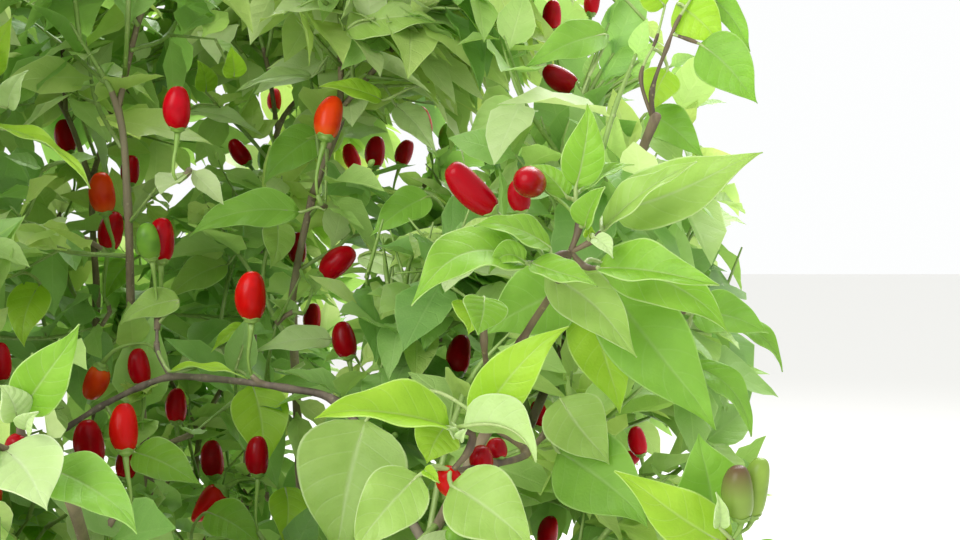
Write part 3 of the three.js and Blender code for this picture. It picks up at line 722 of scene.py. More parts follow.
# Dresses a coarse twig's end exactly as the solids have it
def dressTwig(mass, twig, coarse, taken):
    draw = draws(mass["seed"] * seeds["mass"] + seeds["leaves"] + twig["number"])
    end, heading, across = twig["end"], twig["heading"], twig["across"]
    others = np.vstack([other["inside"] for other in coarse if other is not twig])
    others = others[np.linalg.norm(others - end, axis=1) > leafRule["apart"] * 1.5]
    count = leafRule["atTip"] if twig["level"] == growth["levels"] - 1 else leafRule["atFork"]
    for i in range(count):
        base = end - heading * (leafRule["below"] + i * leafRule["step"])
        for attempt in range(leafRule["tries"]):
            turn = i * 360 / count + draw() * leafRule["scatter"]
            leaf = nodeLeaf(base, heading, turned(across, heading, turn), draw, leafRule["length"])
            points = bladePoints(leaf)
            if not fits(mass, points, growth["leafGap"]):
                continue
            if crowded(points[3:], np.vstack([*taken, others]), leafRule["apart"]):
                continue
            mass["leaves"].append({**leaf, "twig": twig})
            taken.append(points[3:])
            break
    if draw() > fruitRule["chance"]:
        return
    lean = unit(turned(across, heading, draw() * 360) * fruitRule["splay"] + up)
    foot = end - heading * fruitRule["below"]
    fruit = {
        "foot": foot, "base": foot + lean * fruitRule["stalk"], "axis": lean,
        "width": fruitRule["width"], "twig": twig,
        "length": fruitRule["length"] * (fruitRule["least"] + draw() * fruitRule["varies"]),
        "leaving": lean + up * 0.3,
    }
    points = fruitLine(fruit)
    near = np.vstack([*taken, others])
    if fits(mass, points, growth["leafGap"]) and not crowded(points, near, fruitRule["apart"]):
        mass["fruits"].append(fruit)
        taken.append(points)


for mass in masses:
    others = np.array([other["middle"] for other in masses if other is not mass])
    mass["planes"] = unit(others - mass["middle"])
    mass["halfway"] = np.sum((others + mass["middle"]) / 2 * mass["planes"], axis=1)
    bough = mass["bough"]
    foot = bough["tip"] + bough["heading"] * growth["clearGap"]
    towards = unit(unit(mass["middle"] - foot) + bough["heading"])
    plane = unit(np.cross(threeDraws(draws(mass["seed"])), towards))
    collar = foot + bough["heading"] * growth["collar"]
    neck = {"lead": [foot, collar], "leadRadii": [growth["radius"]] * 2, "twigs": []}
    mass["stems"].append(neck)
    growTwig(mass, collar, towards, plane, 1, 0, neck, None)
    coarse = [twig for twig in mass["twigs"] if twig["level"] < growth["levels"]]
    taken = [np.zeros((0, 3))]
    for twig in coarse:
        dressTwig(mass, twig, coarse, taken)


# Side twigs leave a limb at a share of its way, each turned on by the golden angle from the one before
def growSide(mass, start, heading, across, number, level, extra, parent=None):
    sideways = turned(across, heading, number * goldenAngle)
    direction = unit(sideways + heading * growth["sideAhead"] + up * growth["sideRise"])
    plane = unit(np.cross(direction, heading))
    first = start + direction * growth["sideOut"]
    growTwig(mass, first, direction, plane, number, level, None, start, extra, parent)


def growFromBough(mass, start, heading, k, extra):
    across = unit(np.cross(heading, growth["guide"]))
    growSide(mass, start, heading, across, seeds["bough"] + k, growth["levels"] - 1, extra)


for mass in masses:
    for twig in [twig for twig in mass["twigs"] if twig["level"] < growth["levels"]]:
        for k, share in enumerate(growth["sideTwigs"]):
            start = twig["start"] + (twig["end"] - twig["start"]) * share
            number = seeds["side"] + twig["number"] * 4 + k
            growSide(mass, start, twig["heading"], twig["across"], number, growth["levels"], 0.0, twig)
    line = mass["bough"]["samples"]
    count = growth["boughTwigs"][mass["storey"]]
    for k in range(count):
        share = growth["boughFrom"] + (growth["boughTo"] - growth["boughFrom"]) * k / (count - 1)
        at = int(share * (len(line) - 2))
        growFromBough(mass, line[at], unit(line[at + 1] - line[at]), k, growth["boughSlack"])
print("stage: coarse growth,", sum(len(m["leaves"]) for m in masses), "leaves,",
      sum(len(m["fruits"]) for m in masses), "fruit,", sum(len(m["twigs"]) for m in masses), "twigs")

# Sprays along the near shoots' boughs, each in an oval round its own bough
sprayRule = {"from": 0.4, "along": 0.54, "slack": 1.0}
smallOval = {"half": (70, 100), "middle": 0.78, "twig": 52, "lift": 0.15, "count": 9}
sprayOvals = {
    "near_shoots": smallOval, "left_shoot": {**smallOval, "half": (60, 90)}, "right_shoot": smallOval,
    "top_shoot": {"half": (112, 140), "middle": 0.92, "twig": 66, "lift": 0.4, "count": 22},
}
sprays = []
for index, (name, bough) in enumerate(shootBoughs.items()):
    line, oval = bough["samples"], sprayOvals[name]
    middle = line[int(len(line) * oval["middle"])]
    spray = newMass(seeds["spray"] + index, middle, oval["half"], oval["lift"], oval["twig"])
    for k in range(oval["count"]):
        at = int((sprayRule["from"] + sprayRule["along"] * k / oval["count"]) * len(line))
        growFromBough(spray, line[at], unit(line[at] - line[at - 1]), k, sprayRule["slack"])
    sprays.append(spray)
print("stage: sprays,", sum(len(spray["twigs"]) for spray in sprays), "twigs")
# Sprays over the dents between neighbouring masses, each from the closest old twigs of the two
dentRule = {
    "half": (96.0, 92.0), "outward": 52.0, "count": 5, "lift": 0.1, "twig": 50.0, "extra": 30.0,
    "onward": 0.5, "rise": 0.3, "root": 2.0,
}
pairs = []
for here, mass in enumerate(masses):
    pairs.append((mass, masses[(here + len(storeys)) % len(masses)]))
    if here % len(storeys) < len(storeys) - 1:
        pairs.append((mass, masses[here + 1]))
for index, (mass, other) in enumerate(pairs):
    middle = (mass["middle"] + other["middle"]) / 2
    middle = middle + outwardAt(middle) * dentRule["outward"]
    spray = newMass(seeds["dent"] + index, middle, dentRule["half"], dentRule["lift"], dentRule["twig"])
    old = [twig for near in (mass, other) for twig in near["twigs"]
           if 1 <= twig["level"] < growth["levels"] and twig["extra"] == 0 and not twig["cut"]]
    old.sort(key=lambda twig: span(middle, twig["end"]))
    for k, twig in enumerate(old[:dentRule["count"]]):
        heading = unit(unit(middle - twig["end"]) + twig["heading"] * dentRule["onward"])
        plane = unit(np.cross(heading, twig["across"] + up * dentRule["rise"]))
        root = twig["end"] - twig["heading"] * dentRule["root"]
        growTwig(spray, twig["end"], heading, plane, seeds["bough"] + k, growth["levels"] - 1, None, root,
                 dentRule["extra"], twig)
    sprays.append(spray)
everyMass = masses + sprays
print("stage: sprays over dents,", sum(len(spray["twigs"]) for spray in sprays), "twigs")

# The nodes that a stalk may leave: those of the crown's twigs and of the branches that cross the picture
woody = [twig for mass in everyMass for twig in mass["twigs"] if twig["level"] >= 1 and not twig["cut"]]
boughLines = [np.array([photoPoint(*place) for place in bough["path"]]) for bough in photoBoughs]
boughLines[0][0] = nearest(limbPoints, boughLines[0][0])
for line in boughLines:
    fine = spacedPoints(line, 40)
    for k in range(6, 40, 3):
        woody.append({"end": fine[k], "heading": unit(fine[k] - fine[k - 1]), "used": True})
nodeEnds = np.array([twig["end"] for twig in woody])
nodeHeadings = np.array([twig["heading"] for twig in woody])
seek = draws(fruitSeek["seed"])
placedFruit = []
spurs = []


def cheapest(choices):
    return min(choices, key=lambda choice: choice[0], default=(np.inf,))


# Seeks the depth for each fruit at which a node is nearest, and grows a short spur to its stalk from there
for index, (u, v, pixels, lean, tint) in enumerate(photoFruit):
    length = fruitRule["length"] * (fruitSeek["least"] + seek() * fruitSeek["varies"])
    turn = math.radians(lean)
    axis = viewUp * math.cos(turn) + viewRight * math.sin(turn)
    axis = unit(axis + viewAhead * (seek() - 0.5) * fruitSeek["ahead"])
    shortest, longest = fruitSeek["stalk"]
    stalk = shortest + seek() * (longest - shortest)
    thick = fruitRule["width"] * (fruitSeek["broad"] + seek() * fruitSeek["broadVaries"])
    choices = []
    for share in fruitSeek["depths"]:
        size = length * share ** fruitSeek["sizePower"]
        middle = photoPoint(u, v, focalPixels * size / pixels)
        foot = middle - axis * size / 2 - unit(axis + up * fruitSeek["rise"]) * stalk
        if not outsideBox(middle, fruitSeek["edge"]):
            costs = np.linalg.norm(nodeEnds - foot, axis=1) + fruitSeek["strayCost"] * abs(share - 1)
            near = int(np.argmin(costs))
            choices.append((costs[near], near, middle, foot, size))
    best = cheapest(choices)
    if best[0] > fruitSeek["furthest"] + fruitSeek["strayCost"] / 2:
        print("stage: no twig for the fruit at", u, v)
        spotDepth[index] = 0
        continue
    near, middle, foot, size = best[1:]
    woody[near]["used"] = True
    node, leaving = nodeEnds[near], nodeHeadings[near]
    spotDepth[index] = float(photoPlace(middle)[2]) + fruitSeek["clear"]
    barrel, shoulder = fruitSeek["hanging" if -150 < lean < -100 else "upright"]
    placedFruit.append({
        "foot": foot, "base": middle - axis * size / 2, "axis": axis, "length": size, "tint": tint,
        "width": thick * size / fruitRule["length"], "leaving": unit(foot - node) + up, "barrel": barrel,
        "shoulder": shoulder,
    })
    reach = min(span(foot, node), fruitSeek["bendReach"])
    bend = (node + foot) / 2 + leaving * reach * fruitSeek["spurBend"]
    spur = np.array([node - leaving * fruitSeek["sunk"], bend, foot])
    spurs.append({"points": spur, "radii": fruitSeek["spurRadii"]})
print("stage: photo fruit,", len(placedFruit), "placed")

# Seeks the depth for each leaf further in at which a node is nearest to its foot
for index, (u0, v0, u1, v1, pixels, faceUp, fold, tint, depth) in enumerate(photoLeaves):
    choices = []
    for share in leafSeek["shares"]:
        foot = photoPoint(u0, v0, depth * share)
        if not outsideBox(foot, leafSeek["edge"]):
            strays = np.abs(np.linalg.norm(nodeEnds - foot, axis=1) - leafSeek["stalk"])
            near = int(np.argmin(strays))
            choices.append((strays[near] + leafSeek["strayCost"] * abs(share - 1), near, depth * share))
    best = cheapest(choices)
    if best[0] > leafSeek["furthest"]:
        print("stage: no twig for the leaf at", u0, v0)
        continue
    near, depth = best[1:]
    woody[near]["used"] = True
    first = firstLeafSpot + index * len(spotRule["innerShares"])
    spotDepth[first:first + len(spotRule["innerShares"])] = depth - leafSeek["clear"]
    bow, arch = leafSeek["bow"] + seek() * leafSeek["bowVaries"], leafSeek["arch"]
    tipDepth = depth - leafSeek["tipNearer"]
    leaf = shootLeaf((u0, v0, depth, u1, v1, tipDepth, pixels, faceUp, fold, bow, arch, tint))
    nearLeaves.append({**leaf, "joint": nodeEnds[near]})


# Finer dressing: leaves at each fork and a tuft at each end, the youngest the smallest, and a leaf along old
# twigs
def dressFine(mass):
    taken = np.vstack([np.zeros((0, 3))] + [bladePoints(leaf)[1::3] for leaf in mass["leaves"]])
    for twig in mass["twigs"]:
        if twig["cut"]:
            continue
        draw = draws(mass["seed"] * seeds["mass"] + seeds["fineLeaves"] + twig["number"])
        last = twig["level"] == growth["fineLevels"] - 1
        coarse = twig["level"] < growth["levels"] and twig["extra"] == 0
        count = leafRule["fineAlong" if coarse else "fineAtTip" if last else "fineAtFork"]
        slack = growth["leafSlack"] + twig["extra"]
        if not coarse and reachesOut(twig):
            slack += growth["reachSlack"]
        reach = span(twig["start"], twig["end"])
        first = draw() * 360
        for i in range(count):
            grown = min(leafRule["youngFrom"] + leafRule["youngStep"] * i, 1) if last else 1
            size = leafRule["fineLength"] * grown
            if coarse:
                share = leafRule["backFrom"] + leafRule["backStep"] * i + leafRule["backVaries"] * draw()
                back = reach * share
            else:
                back = leafRule["fineBelow"] + i * leafRule["fineStep"]
            base = twig["end"] - twig["heading"] * back
            others = taken[distances(taken, base[None])[:, 0] < leafRule["nearby"]]
            for attempt in range(leafRule["tries"]):
                turn = first + i * goldenAngle + attempt * leafRule["retryTurn"]
                sideways = turned(twig["across"], twig["heading"], turn)
                leaf = nodeLeaf(base, twig["heading"], sideways, draw, size)
                leaf["width"] *= leafRule["fineBroad"]
                points = bladePoints(leaf)
                if not fits(mass, points, growth["fineLeafGap"], slack) or hidesSpot(bladeGrid([leaf])):
                    continue
                if crowded(points[4::3], others, leafRule["fineApart"]):
                    continue
                mass["leaves"].append({**leaf, "twig": twig})
                taken = np.vstack([taken, points[1::3]])
                break


for mass in everyMass:
    mass["leaves"] = [
        leaf for leaf in mass["leaves"] if not (leaf["twig"]["cut"] or hidesSpot(bladeGrid([leaf])))
    ]
    dressFine(mass)
    for leaf in mass["leaves"]:
        leaf["twig"]["used"] = True
print("stage: fine growth,", sum(len(m["leaves"]) for m in everyMass), "leaves")

# Leaves turned to the gaps that the photo doesn't have: the picture's cells that no leaf covers, or where a
# limb stands in front of the leaves, each get one from the closest twig end, laid across the line of sight
gapRule = {
    "cell": 7, "left": -21, "right": 721, "top": -21, "bottom": 561, "furthest": 120.0, "nearest": 480.0,
    "shortest": 32.0, "longest": 68.0, "shorter": 0.62, "short": 22.0, "least": 16.0, "broad": 1.2,
    "slack": 75.0, "limbGap": 2.0, "tries": 70, "stretch": 0.8, "branchRadii": (1.2, 1.0, 0.7),
    "limbHalf": 4, "seed": 97, "leafHalf": 0.3, "turnBack": 2, "stray": 0.3, "lightStray": 0.9, "rise": 0.7,
    "facing": 0.8, "longer": 1.7, "longLeast": 0.92, "longVaries": 0.16, "middle": 0.45, "branchRise": 0.06,
    "before": 14, "clear": 2,
}


def cellOf(u, v):
    return np.floor_divide([v - gapRule["top"], u - gapRule["left"]], gapRule["cell"]).astype(int)


cells = np.full(cellOf(gapRule["right"], gapRule["bottom"]) + 1, np.inf)
rowCount, columnCount = cells.shape


# Notes the smallest depth in each cell that the points fall in, or that lies a reach to their sides
def coverCells(points, reach=0):
    u, v, depth = photoPlace(points)
    steps = (-reach, 0, reach) if reach else (0,)
    for du in steps:
        for dv in steps:
            row, column = cellOf(u + du, v + dv)
            inside = (row >= 0) & (column >= 0) & (row < rowCount) & (column < columnCount) & (depth > 0)
            np.minimum.at(cells, (row[inside], column[inside]), depth[inside])


for mass in everyMass:
    coverCells(bladeGrid(mass["leaves"], 2))
share = np.linspace(0.08, 0.92, 16)[:, None]
for leaf in nearLeaves:
    line = leaf["base"] + leaf["length"] * leaf["along"] * share
    half = leaf["width"] * gapRule["leafHalf"] * focalPixels / span(cameraPlace, leaf["base"])
    coverCells(line, half)
    coverCells(line, half / 2)
gapSpots = []
for row, column in zip(*np.nonzero(np.isinf(cells))):
    u, v = gapRule["left"] + (column + 0.5) * gapRule["cell"], gapRule["top"] + (row + 0.5) * gapRule["cell"]
    if not any(a < u < c and b < v < d and limit > 2000 for a, b, c, d, limit in openWindows):
        gapSpots.append((u, v, np.inf))
for limb in limbs[:-len(shootBoughs)]:
    for middle, v, depth in zip(*photoPlace(spacedPoints(limb["points"], 90))):
        for u in (middle - gapRule["limbHalf"], middle, middle + gapRule["limbHalf"]):
            row, column = cellOf(u, v)
            if 0 <= row < rowCount and 0 <= column < columnCount and cells[row, column] > depth:
                gapSpots.append((u, v, depth + 1))
carrying = [
    (twig, mass) for mass in everyMass for twig in mass["twigs"] if twig["level"] >= 2 and not twig["cut"]
]
for limb in limbs[1:]:
    line = spacedPoints(limb["points"], 40)
    for k in range(8, 39):
        mass = min(masses, key=lambda other: span(line[k], other["middle"]))
        end, heading = line[k] - viewAhead * 3, unit(line[k + 1] - line[k])
        carrying.append(({"end": end, "heading": heading, "number": k, "level": 2, "used": True}, mass))
carryOffsets = np.array([twig["end"] for twig, mass in carrying]) - cameraPlace
carryDepth = photoPlace(np.array([twig["end"] for twig, mass in carrying]))[2]
gapDraw = draws(gapRule["seed"])


# A leaf from a twig's end to a place across a ray, on a short branch where it is too far: the first length
# that fits
def gapLeaf(twig, mass, ray, place):
    base = twig["end"] - twig["heading"] * gapRule["turnBack"]
    reach = span(base, place)
    along = unit(unit(place - base) + threeDraws(gapDraw) * gapRule["stray"])
    light = up * gapRule["rise"] - ray * gapRule["facing"] + threeDraws(gapDraw) * gapRule["lightStray"]
    normal = unit(light - along * np.dot(light, along))
    longest = min(max(reach * gapRule["longer"], gapRule["shortest"]), gapRule["longest"])
    longest = longest * (gapRule["longLeast"] + gapDraw() * gapRule["longVaries"])
    for length in (longest, max(longest * gapRule["shorter"], gapRule["short"]), gapRule["least"]):
        foot, branch = base, None
        if reach > length * gapRule["stretch"]:
            foot = place - along * length * gapRule["middle"]
            bend = (base + foot) / 2 + up * reach * gapRule["branchRise"]
            branch = np.array([base, bend, foot + along])
        width = length * leafRule["share"] * gapRule["broad"]
        leaf = {"base": foot, "along": along, "normal": normal, "length": length, "width": width,
                "twig": twig}
        free = fits(mass, bladePoints(leaf), gapRule["limbGap"], gapRule["slack"])
        free = free and not hidesSpot(bladeGrid([leaf]))
        if free and (branch is None or not hidesSpot(spacedPoints(branch, 14))):
            return leaf, branch
    return None, None


added = 0
for u, v, before in gapSpots:
    if cells[tuple(cellOf(u, v))] < before:
        continue
    ray = unit(photoPoint(u, v, 1.0) - cameraPlace)
    aside = np.linalg.norm(carryOffsets - (carryOffsets @ ray)[:, None] * ray, axis=1)
    shown = spotDepth[np.hypot(spotU - u, spotV - v) < spotReach + gapRule["clear"]]
    aside[(carryDepth > before) | (carryDepth < max([gapRule["nearest"], *shown]))] += 1e6
    for near in np.argsort(aside)[:gapRule["tries"]]:
        if aside[near] > gapRule["furthest"]:
            break
        twig, mass = carrying[near]
        furthest = (before - gapRule["before"]) / (ray @ viewAhead)
        place = cameraPlace + ray * min(carryOffsets[near] @ ray, furthest)
        leaf, branch = gapLeaf(twig, mass, ray, place)
        if leaf is None:
            continue
        if branch is not None:
            spurs.append({"points": branch, "radii": gapRule["branchRadii"]})
        mass["leaves"].append(leaf)
        twig["used"] = True
        coverCells(bladeGrid([leaf], 2))
        added += 1
        break
print("stage: leaves over gaps,", added, "of", len(gapSpots))


# Meshes

# Puts whole arrays of corners and faces into a mesh; faces come as groups of 3 or 4 corners, with a material
# slot each
def makePiece(name, points, faces, materials, slots=None, uv=None):
    mesh = bpy.data.meshes.new(name)
    corners = np.concatenate([group.ravel() for group in faces]).astype(np.int32)
    totals = np.concatenate([np.full(len(group), group.shape[1]) for group in faces]).astype(np.int32)
    starts = np.concatenate([[0], np.cumsum(totals)[:-1]]).astype(np.int32)
    mesh.vertices.add(len(points))
    mesh.vertices.foreach_set("co", (np.asarray(points) * mm).astype(np.float32).ravel())
    mesh.loops.add(len(corners))
    mesh.loops.foreach_set("vertex_index", corners)
    mesh.polygons.add(len(totals))
    mesh.polygons.foreach_set("loop_start", starts)
    mesh.polygons.foreach_set("loop_total", totals)
    for material in materials:
        mesh.materials.append(material)
    if slots is not None:
        mesh.polygons.foreach_set("material_index", np.asarray(slots, np.int32))
    mesh.polygons.foreach_set("use_smooth", np.ones(len(totals), bool))
    if uv is not None:
        layer = mesh.uv_layers.new(name="surface")
        layer.data.foreach_set("uv", np.asarray(uv, np.float32)[corners].ravel())
    mesh.update(calc_edges=True)
    mesh.validate()
    print("piece:", name, int((totals - 2).sum()), "triangles")
    piece = bpy.data.objects.new(name, mesh)
    bpy.context.scene.collection.objects.link(piece)
    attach(piece, "root")
    return piece


# The quads of a grid of rows and columns, whose last column may join the first
def gridQuads(rows, columns, closed=False):
    wide = columns if closed else columns - 1
    row, column = np.meshgrid(np.arange(rows - 1), np.arange(wide), indexing="ij")
    a = row * columns + column
    b = row * columns + (column + 1) % columns
    return np.stack([a, b, b + columns, a + columns], axis=-1).reshape(-1, 4)


# The quads of a tube's rings, and the triangles that close it at its first pole and its last, numbered after
# the rings
def closedTube(rows, sides):
    low = np.arange(sides)
    top = low + (rows - 1) * sides
    pole = np.full(sides, rows * sides)
    caps = [[np.roll(low, -1), low, pole], [top, np.roll(top, -1), pole + 1]]
    return gridQuads(rows, sides, True), np.vstack([np.stack(cap, axis=1) for cap in caps])


# Spokes across a line: the two directions across it, by the cosine and the sine of each turn
def spokes(turn, first, second):
    return np.cos(turn)[:, None] * first[:, None] + np.sin(turn)[:, None] * second[:, None]


def evenTurns(sides):
    return np.arange(sides) * 2 * np.pi / sides


# The same faces once for each copy of a shape, numbered on from copy to copy
def repeated(faces, count, each):
    return (faces[None] + (np.arange(count) * each)[:, None, None]).reshape(-1, faces.shape[1])


def gathered(items, key):
    return np.array([item[key] for item in items], float)


# Materials

def linear(hexColour):
    value = np.array([int(hexColour[i:i + 2], 16) for i in (1, 3, 5)]) / 255
    value = np.where(value <= 0.04045, value / 12.92, ((value + 0.055) / 1.055) ** 2.4)
    return (*[float(v) for v in value], 1.0)


# Adds one node with its settings and gives one of its outputs; an input given as an output is linked,
# another is set
def addNode(tree, kind, inputs, give=0, **settings):
    node = tree.nodes.new("ShaderNode" + kind)
    for key, value in settings.items():
        setattr(node, key, value)
    for key, value in inputs.items():
        if isinstance(value, bpy.types.NodeSocket):
            tree.links.new(value, node.inputs[key])
        else:
            node.inputs[key].default_value = value
    return node.outputs[give] if len(node.outputs) else None


def newMaterial(name):
    material = bpy.data.materials.new(name)
    material.use_nodes = True
    material.node_tree.nodes.clear()
    return material, material.node_tree


leafLook = {
    "roughness": 0.42, "ior": 1.42, "mottle": 90.0, "mottleFrom": 0.36, "mottleTo": 0.66,
    "netSpacing": 1.6, "netRise": 0.6, "glow": 0.42, "veinCount": 6.5, "sweep": 0.2, "sweepPower": 1.3,
    "halfStep": 0.45, "veinReach": 0.07, "sideVein": 0.45, "midribReach": 0.08, "veinShare": 0.34,
    "veinSink": -0.5, "puff": 1.1, "rim": 0.038, "rimHighlightShare": 0.6, "bump": 0.5, "bumpHeight": 0.0004,
}


# Chilli leaf blade, thin and satin: paler curved side veins, a fine net between them, a pale rim that is the
# leaf's pale margin and partly a painted edge highlight, light that glows through. The vein is where the way
# along, less the sweep times the way out to a power, meets a whole number
def leafMaterial(name, blade, shade, vein, through, glow=leafLook["glow"]):
    material, tree = newMaterial(name)
    place = addNode(tree, "TexCoord", {}, "Object")
    surface = addNode(tree, "UVMap", {}, uv_map="surface")
    across, along = addNode(tree, "SeparateXYZ", {0: surface}).node.outputs[:2]
    centred = addNode(tree, "Math", {0: across, 1: 2.0, 2: -1.0}, operation="MULTIPLY_ADD")
    out = addNode(tree, "Math", {0: centred}, operation="ABSOLUTE")
    curve = addNode(tree, "Math", {0: out, 1: leafLook["sweepPower"]}, operation="POWER")
    swept = addNode(tree, "Math", {0: curve, 1: -leafLook["sweep"], 2: along}, operation="MULTIPLY_ADD")
    rightHalf = addNode(tree, "Math", {0: across, 1: 0.5}, operation="GREATER_THAN")
    offset = addNode(tree, "Math", {0: rightHalf, 1: leafLook["halfStep"]}, operation="MULTIPLY")
    count = addNode(tree, "Math", {0: swept, 1: leafLook["veinCount"], 2: offset}, operation="MULTIPLY_ADD")
    apart = addNode(tree, "Math", {0: count, 1: 0.5}, operation="PINGPONG")
    side = addNode(tree, "MapRange", {
        "Value": apart, "From Max": leafLook["veinReach"], "To Min": leafLook["sideVein"], "To Max": 0.0,
    }, interpolation_type="SMOOTHSTEP")
    middle = addNode(tree, "MapRange", {
        "Value": out, "From Max": leafLook["midribReach"], "To Min": 1.0, "To Max": 0.0,
    }, interpolation_type="SMOOTHSTEP")
    veins = addNode(tree, "Math", {0: side, 1: middle}, operation="MAXIMUM")
    # The pale rim: the leaf's own pale margin, made brighter as a painted edge highlight
    rim = addNode(tree, "MapRange", {
        "Value": out, "From Min": 1 - leafLook["rim"] * 1.5, "From Max": 1 - leafLook["rim"] * 0.5,
        "To Max": leafLook["rimHighlightShare"],
    })
    net = addNode(tree, "TexVoronoi", {"Vector": place, "Scale": 1000 / leafLook["netSpacing"]},
                  feature="DISTANCE_TO_EDGE")
    mottle = addNode(tree, "TexNoise", {"Vector": place, "Scale": leafLook["mottle"], "Detail": 3.0})
    patch = addNode(tree, "MapRange", {
        "Value": mottle, "From Min": leafLook["mottleFrom"], "From Max": leafLook["mottleTo"],
    })
    body = addNode(tree, "Mix", {0: patch, 6: linear(blade), 7: linear(shade)}, 2, data_type="RGBA")
    veinShare = addNode(tree, "Math", {0: veins, 1: leafLook["veinShare"]}, operation="MULTIPLY")
    lined = addNode(tree, "Mix", {0: veinShare, 6: body, 7: linear(vein)}, 2, data_type="RGBA")
    edged = addNode(tree, "Mix", {0: rim, 6: lined, 7: linear(vein)}, 2, data_type="RGBA")
    puff = addNode(tree, "Math", {0: apart, 1: leafLook["puff"]}, operation="MULTIPLY")
    sunk = addNode(tree, "Math", {0: veins, 1: leafLook["veinSink"], 2: puff}, operation="MULTIPLY_ADD")
    height = addNode(tree, "Math", {0: net, 1: leafLook["netRise"], 2: sunk}, operation="MULTIPLY_ADD")
    bump = addNode(tree, "Bump", {
        "Height": height, "Strength": leafLook["bump"], "Distance": leafLook["bumpHeight"],
    })
    skin = addNode(tree, "BsdfPrincipled", {
        "Base Color": edged, "Roughness": leafLook["roughness"], "IOR": leafLook["ior"], "Normal": bump,
    })
    inner = addNode(tree, "BsdfTranslucent", {"Color": linear(through), "Normal": bump})
    mixed = addNode(tree, "MixShader", {0: glow, 1: skin, 2: inner})
    addNode(tree, "OutputMaterial", {"Surface": mixed})
    return material


# The crown's leaves: blade, shade, vein and the light that comes through. The palest is a painted sheen; the
# rest run from the youngest to the oldest
leafColours = {
    "chilliLeafPaintedSheen": ("#d6e6ae", "#c9dc9e", "#eaf2cc", "#d6ea92"),
    "chilliLeafYoung": ("#c8df86", "#bad47a", "#dfeab0", "#cfe774"),
    "chilliLeafBright": ("#b6d480", "#a7c972", "#d2e2a2", "#bee070"),
    "chilliLeafFull": ("#a2c676", "#92b967", "#c0d796", "#aed868"),
    "chilliLeafDeep": ("#89b163", "#78a257", "#a9c67e", "#98c85a"),
}
leafTints = [leafMaterial(name, *colours) for name, colours in leafColours.items()]
# The sprigs' leaves: sprig, lime and mid are their own greens; soft and pale are lighter copies of the leaf
# green, a painted sheen and painted light on leaves that stand in shade
sprigTints = {
    "sprig": leafMaterial("chilliSprigLeaf", "#97bf48", "#88b43c", "#dbe9a8", "#a8dc2c"),
    "lime": leafMaterial("chilliSprigLime", "#b6d548", "#a8cb3e", "#e2efa6", "#c8ee34", 0.5),
    "pale": leafMaterial("chilliSprigPaintedSheen", "#d4e6ac", "#c8dd9c", "#eef6d2", "#d8f090", 0.4),
    "soft": leafMaterial("chilliSprigPaintedLight", "#adca6c", "#9fbe5e", "#dfebb6", "#badc58"),
    "mid": leafMaterial("chilliSprigFull", "#92bd4e", "#84b044", "#bfda8a", "#a6d83c"),
}
leafUnder = leafMaterial("chilliLeafUnderside", "#c6dc98", "#b9d088", "#e2edc0", "#c8e470")

barkLook = {
    "grain": 260.0, "grainFrom": 0.34, "grainTo": 0.64, "stretch": 0.16, "patch": 34.0, "patchFrom": 0.4,
    "patchTo": 0.7, "patchShare": 0.6, "pores": 3.2, "poreFrom": 0.14, "poreTo": 0.24, "poreShare": 0.75,
    "poreRise": 0.4, "ior": 1.5, "bump": 0.7, "bumpHeight": 0.0006,
}


# Woody bark, dry and matt: long fissures along the limb, lighter corky spots and a soft change of colour
def barkMaterial(name, skin, furrow, spot, roughness):
    material, tree = newMaterial(name)
    place = addNode(tree, "TexCoord", {}, "Object")
    drawn = addNode(tree, "Mapping", {"Vector": place, "Scale": (1, 1, barkLook["stretch"])})
    grain = addNode(tree, "TexNoise", {"Vector": drawn, "Scale": barkLook["grain"], "Detail": 4.0})
    patch = addNode(tree, "TexNoise", {"Vector": place, "Scale": barkLook["patch"], "Detail": 2.0})
    cork = addNode(tree, "TexVoronoi", {"Vector": place, "Scale": 1000 / barkLook["pores"]})
    grainShare = addNode(tree, "MapRange", {
        "Value": grain, "From Min": barkLook["grainFrom"], "From Max": barkLook["grainTo"],
    })
    patchShare = addNode(tree, "MapRange", {
        "Value": patch, "From Min": barkLook["patchFrom"], "From Max": barkLook["patchTo"],
        "To Max": barkLook["patchShare"],
    })
    corkShare = addNode(tree, "MapRange", {
        "Value": cork, "From Min": barkLook["poreFrom"], "From Max": barkLook["poreTo"],
        "To Min": barkLook["poreShare"], "To Max": 0.0,
    })
    base = addNode(tree, "Mix", {0: grainShare, 6: linear(furrow), 7: linear(skin)}, 2, data_type="RGBA")
    aged = addNode(tree, "Mix", {0: patchShare, 6: base, 7: linear(spot)}, 2, data_type="RGBA")
    spotted = addNode(tree, "Mix", {0: corkShare, 6: aged, 7: linear(spot)}, 2, data_type="RGBA")
    height = addNode(tree, "Math", {0: corkShare, 1: barkLook["poreRise"], 2: grain},
                     operation="MULTIPLY_ADD")
    bump = addNode(tree, "Bump", {
        "Height": height, "Strength": barkLook["bump"], "Distance": barkLook["bumpHeight"],
    })
    surface = addNode(tree, "BsdfPrincipled", {
        "Base Color": spotted, "Roughness": roughness, "IOR": barkLook["ior"], "Normal": bump,
    })
    addNode(tree, "OutputMaterial", {"Surface": surface})
    return material


oldBark = barkMaterial("chilliBarkOld", "#8d7c67", "#5e4f40", "#a99b84", 0.85)
youngBark = barkMaterial("chilliBarkYoung", "#85745d", "#665845", "#a0957b", 0.75)
greenBark = barkMaterial("chilliTwigGreen", "#86a352", "#71903f", "#a7b878", 0.5)
sprigBark = barkMaterial("chilliSprigStem", "#66543f", "#45362f", "#837a52", 0.6)
branchBark = barkMaterial("chilliBarkGrey", "#75675a", "#4f443b", "#8f8473", 0.75)
sprigStalk = barkMaterial("chilliSprigStalk", "#9bb469", "#83954f", "#b9c88c", 0.5)

fruitLook = {
    "roughness": 0.26, "ior": 1.4, "specular": 0.22, "patch": 120.0, "patchFrom": 0.4, "patchTo": 0.65,
    "blushFrom": 0.45, "blushTo": 1.05, "cupReach": 0.35, "cupShare": 0.7, "dimple": 170.0, "bump": 0.12,
    "bumpHeight": 0.0004,
}


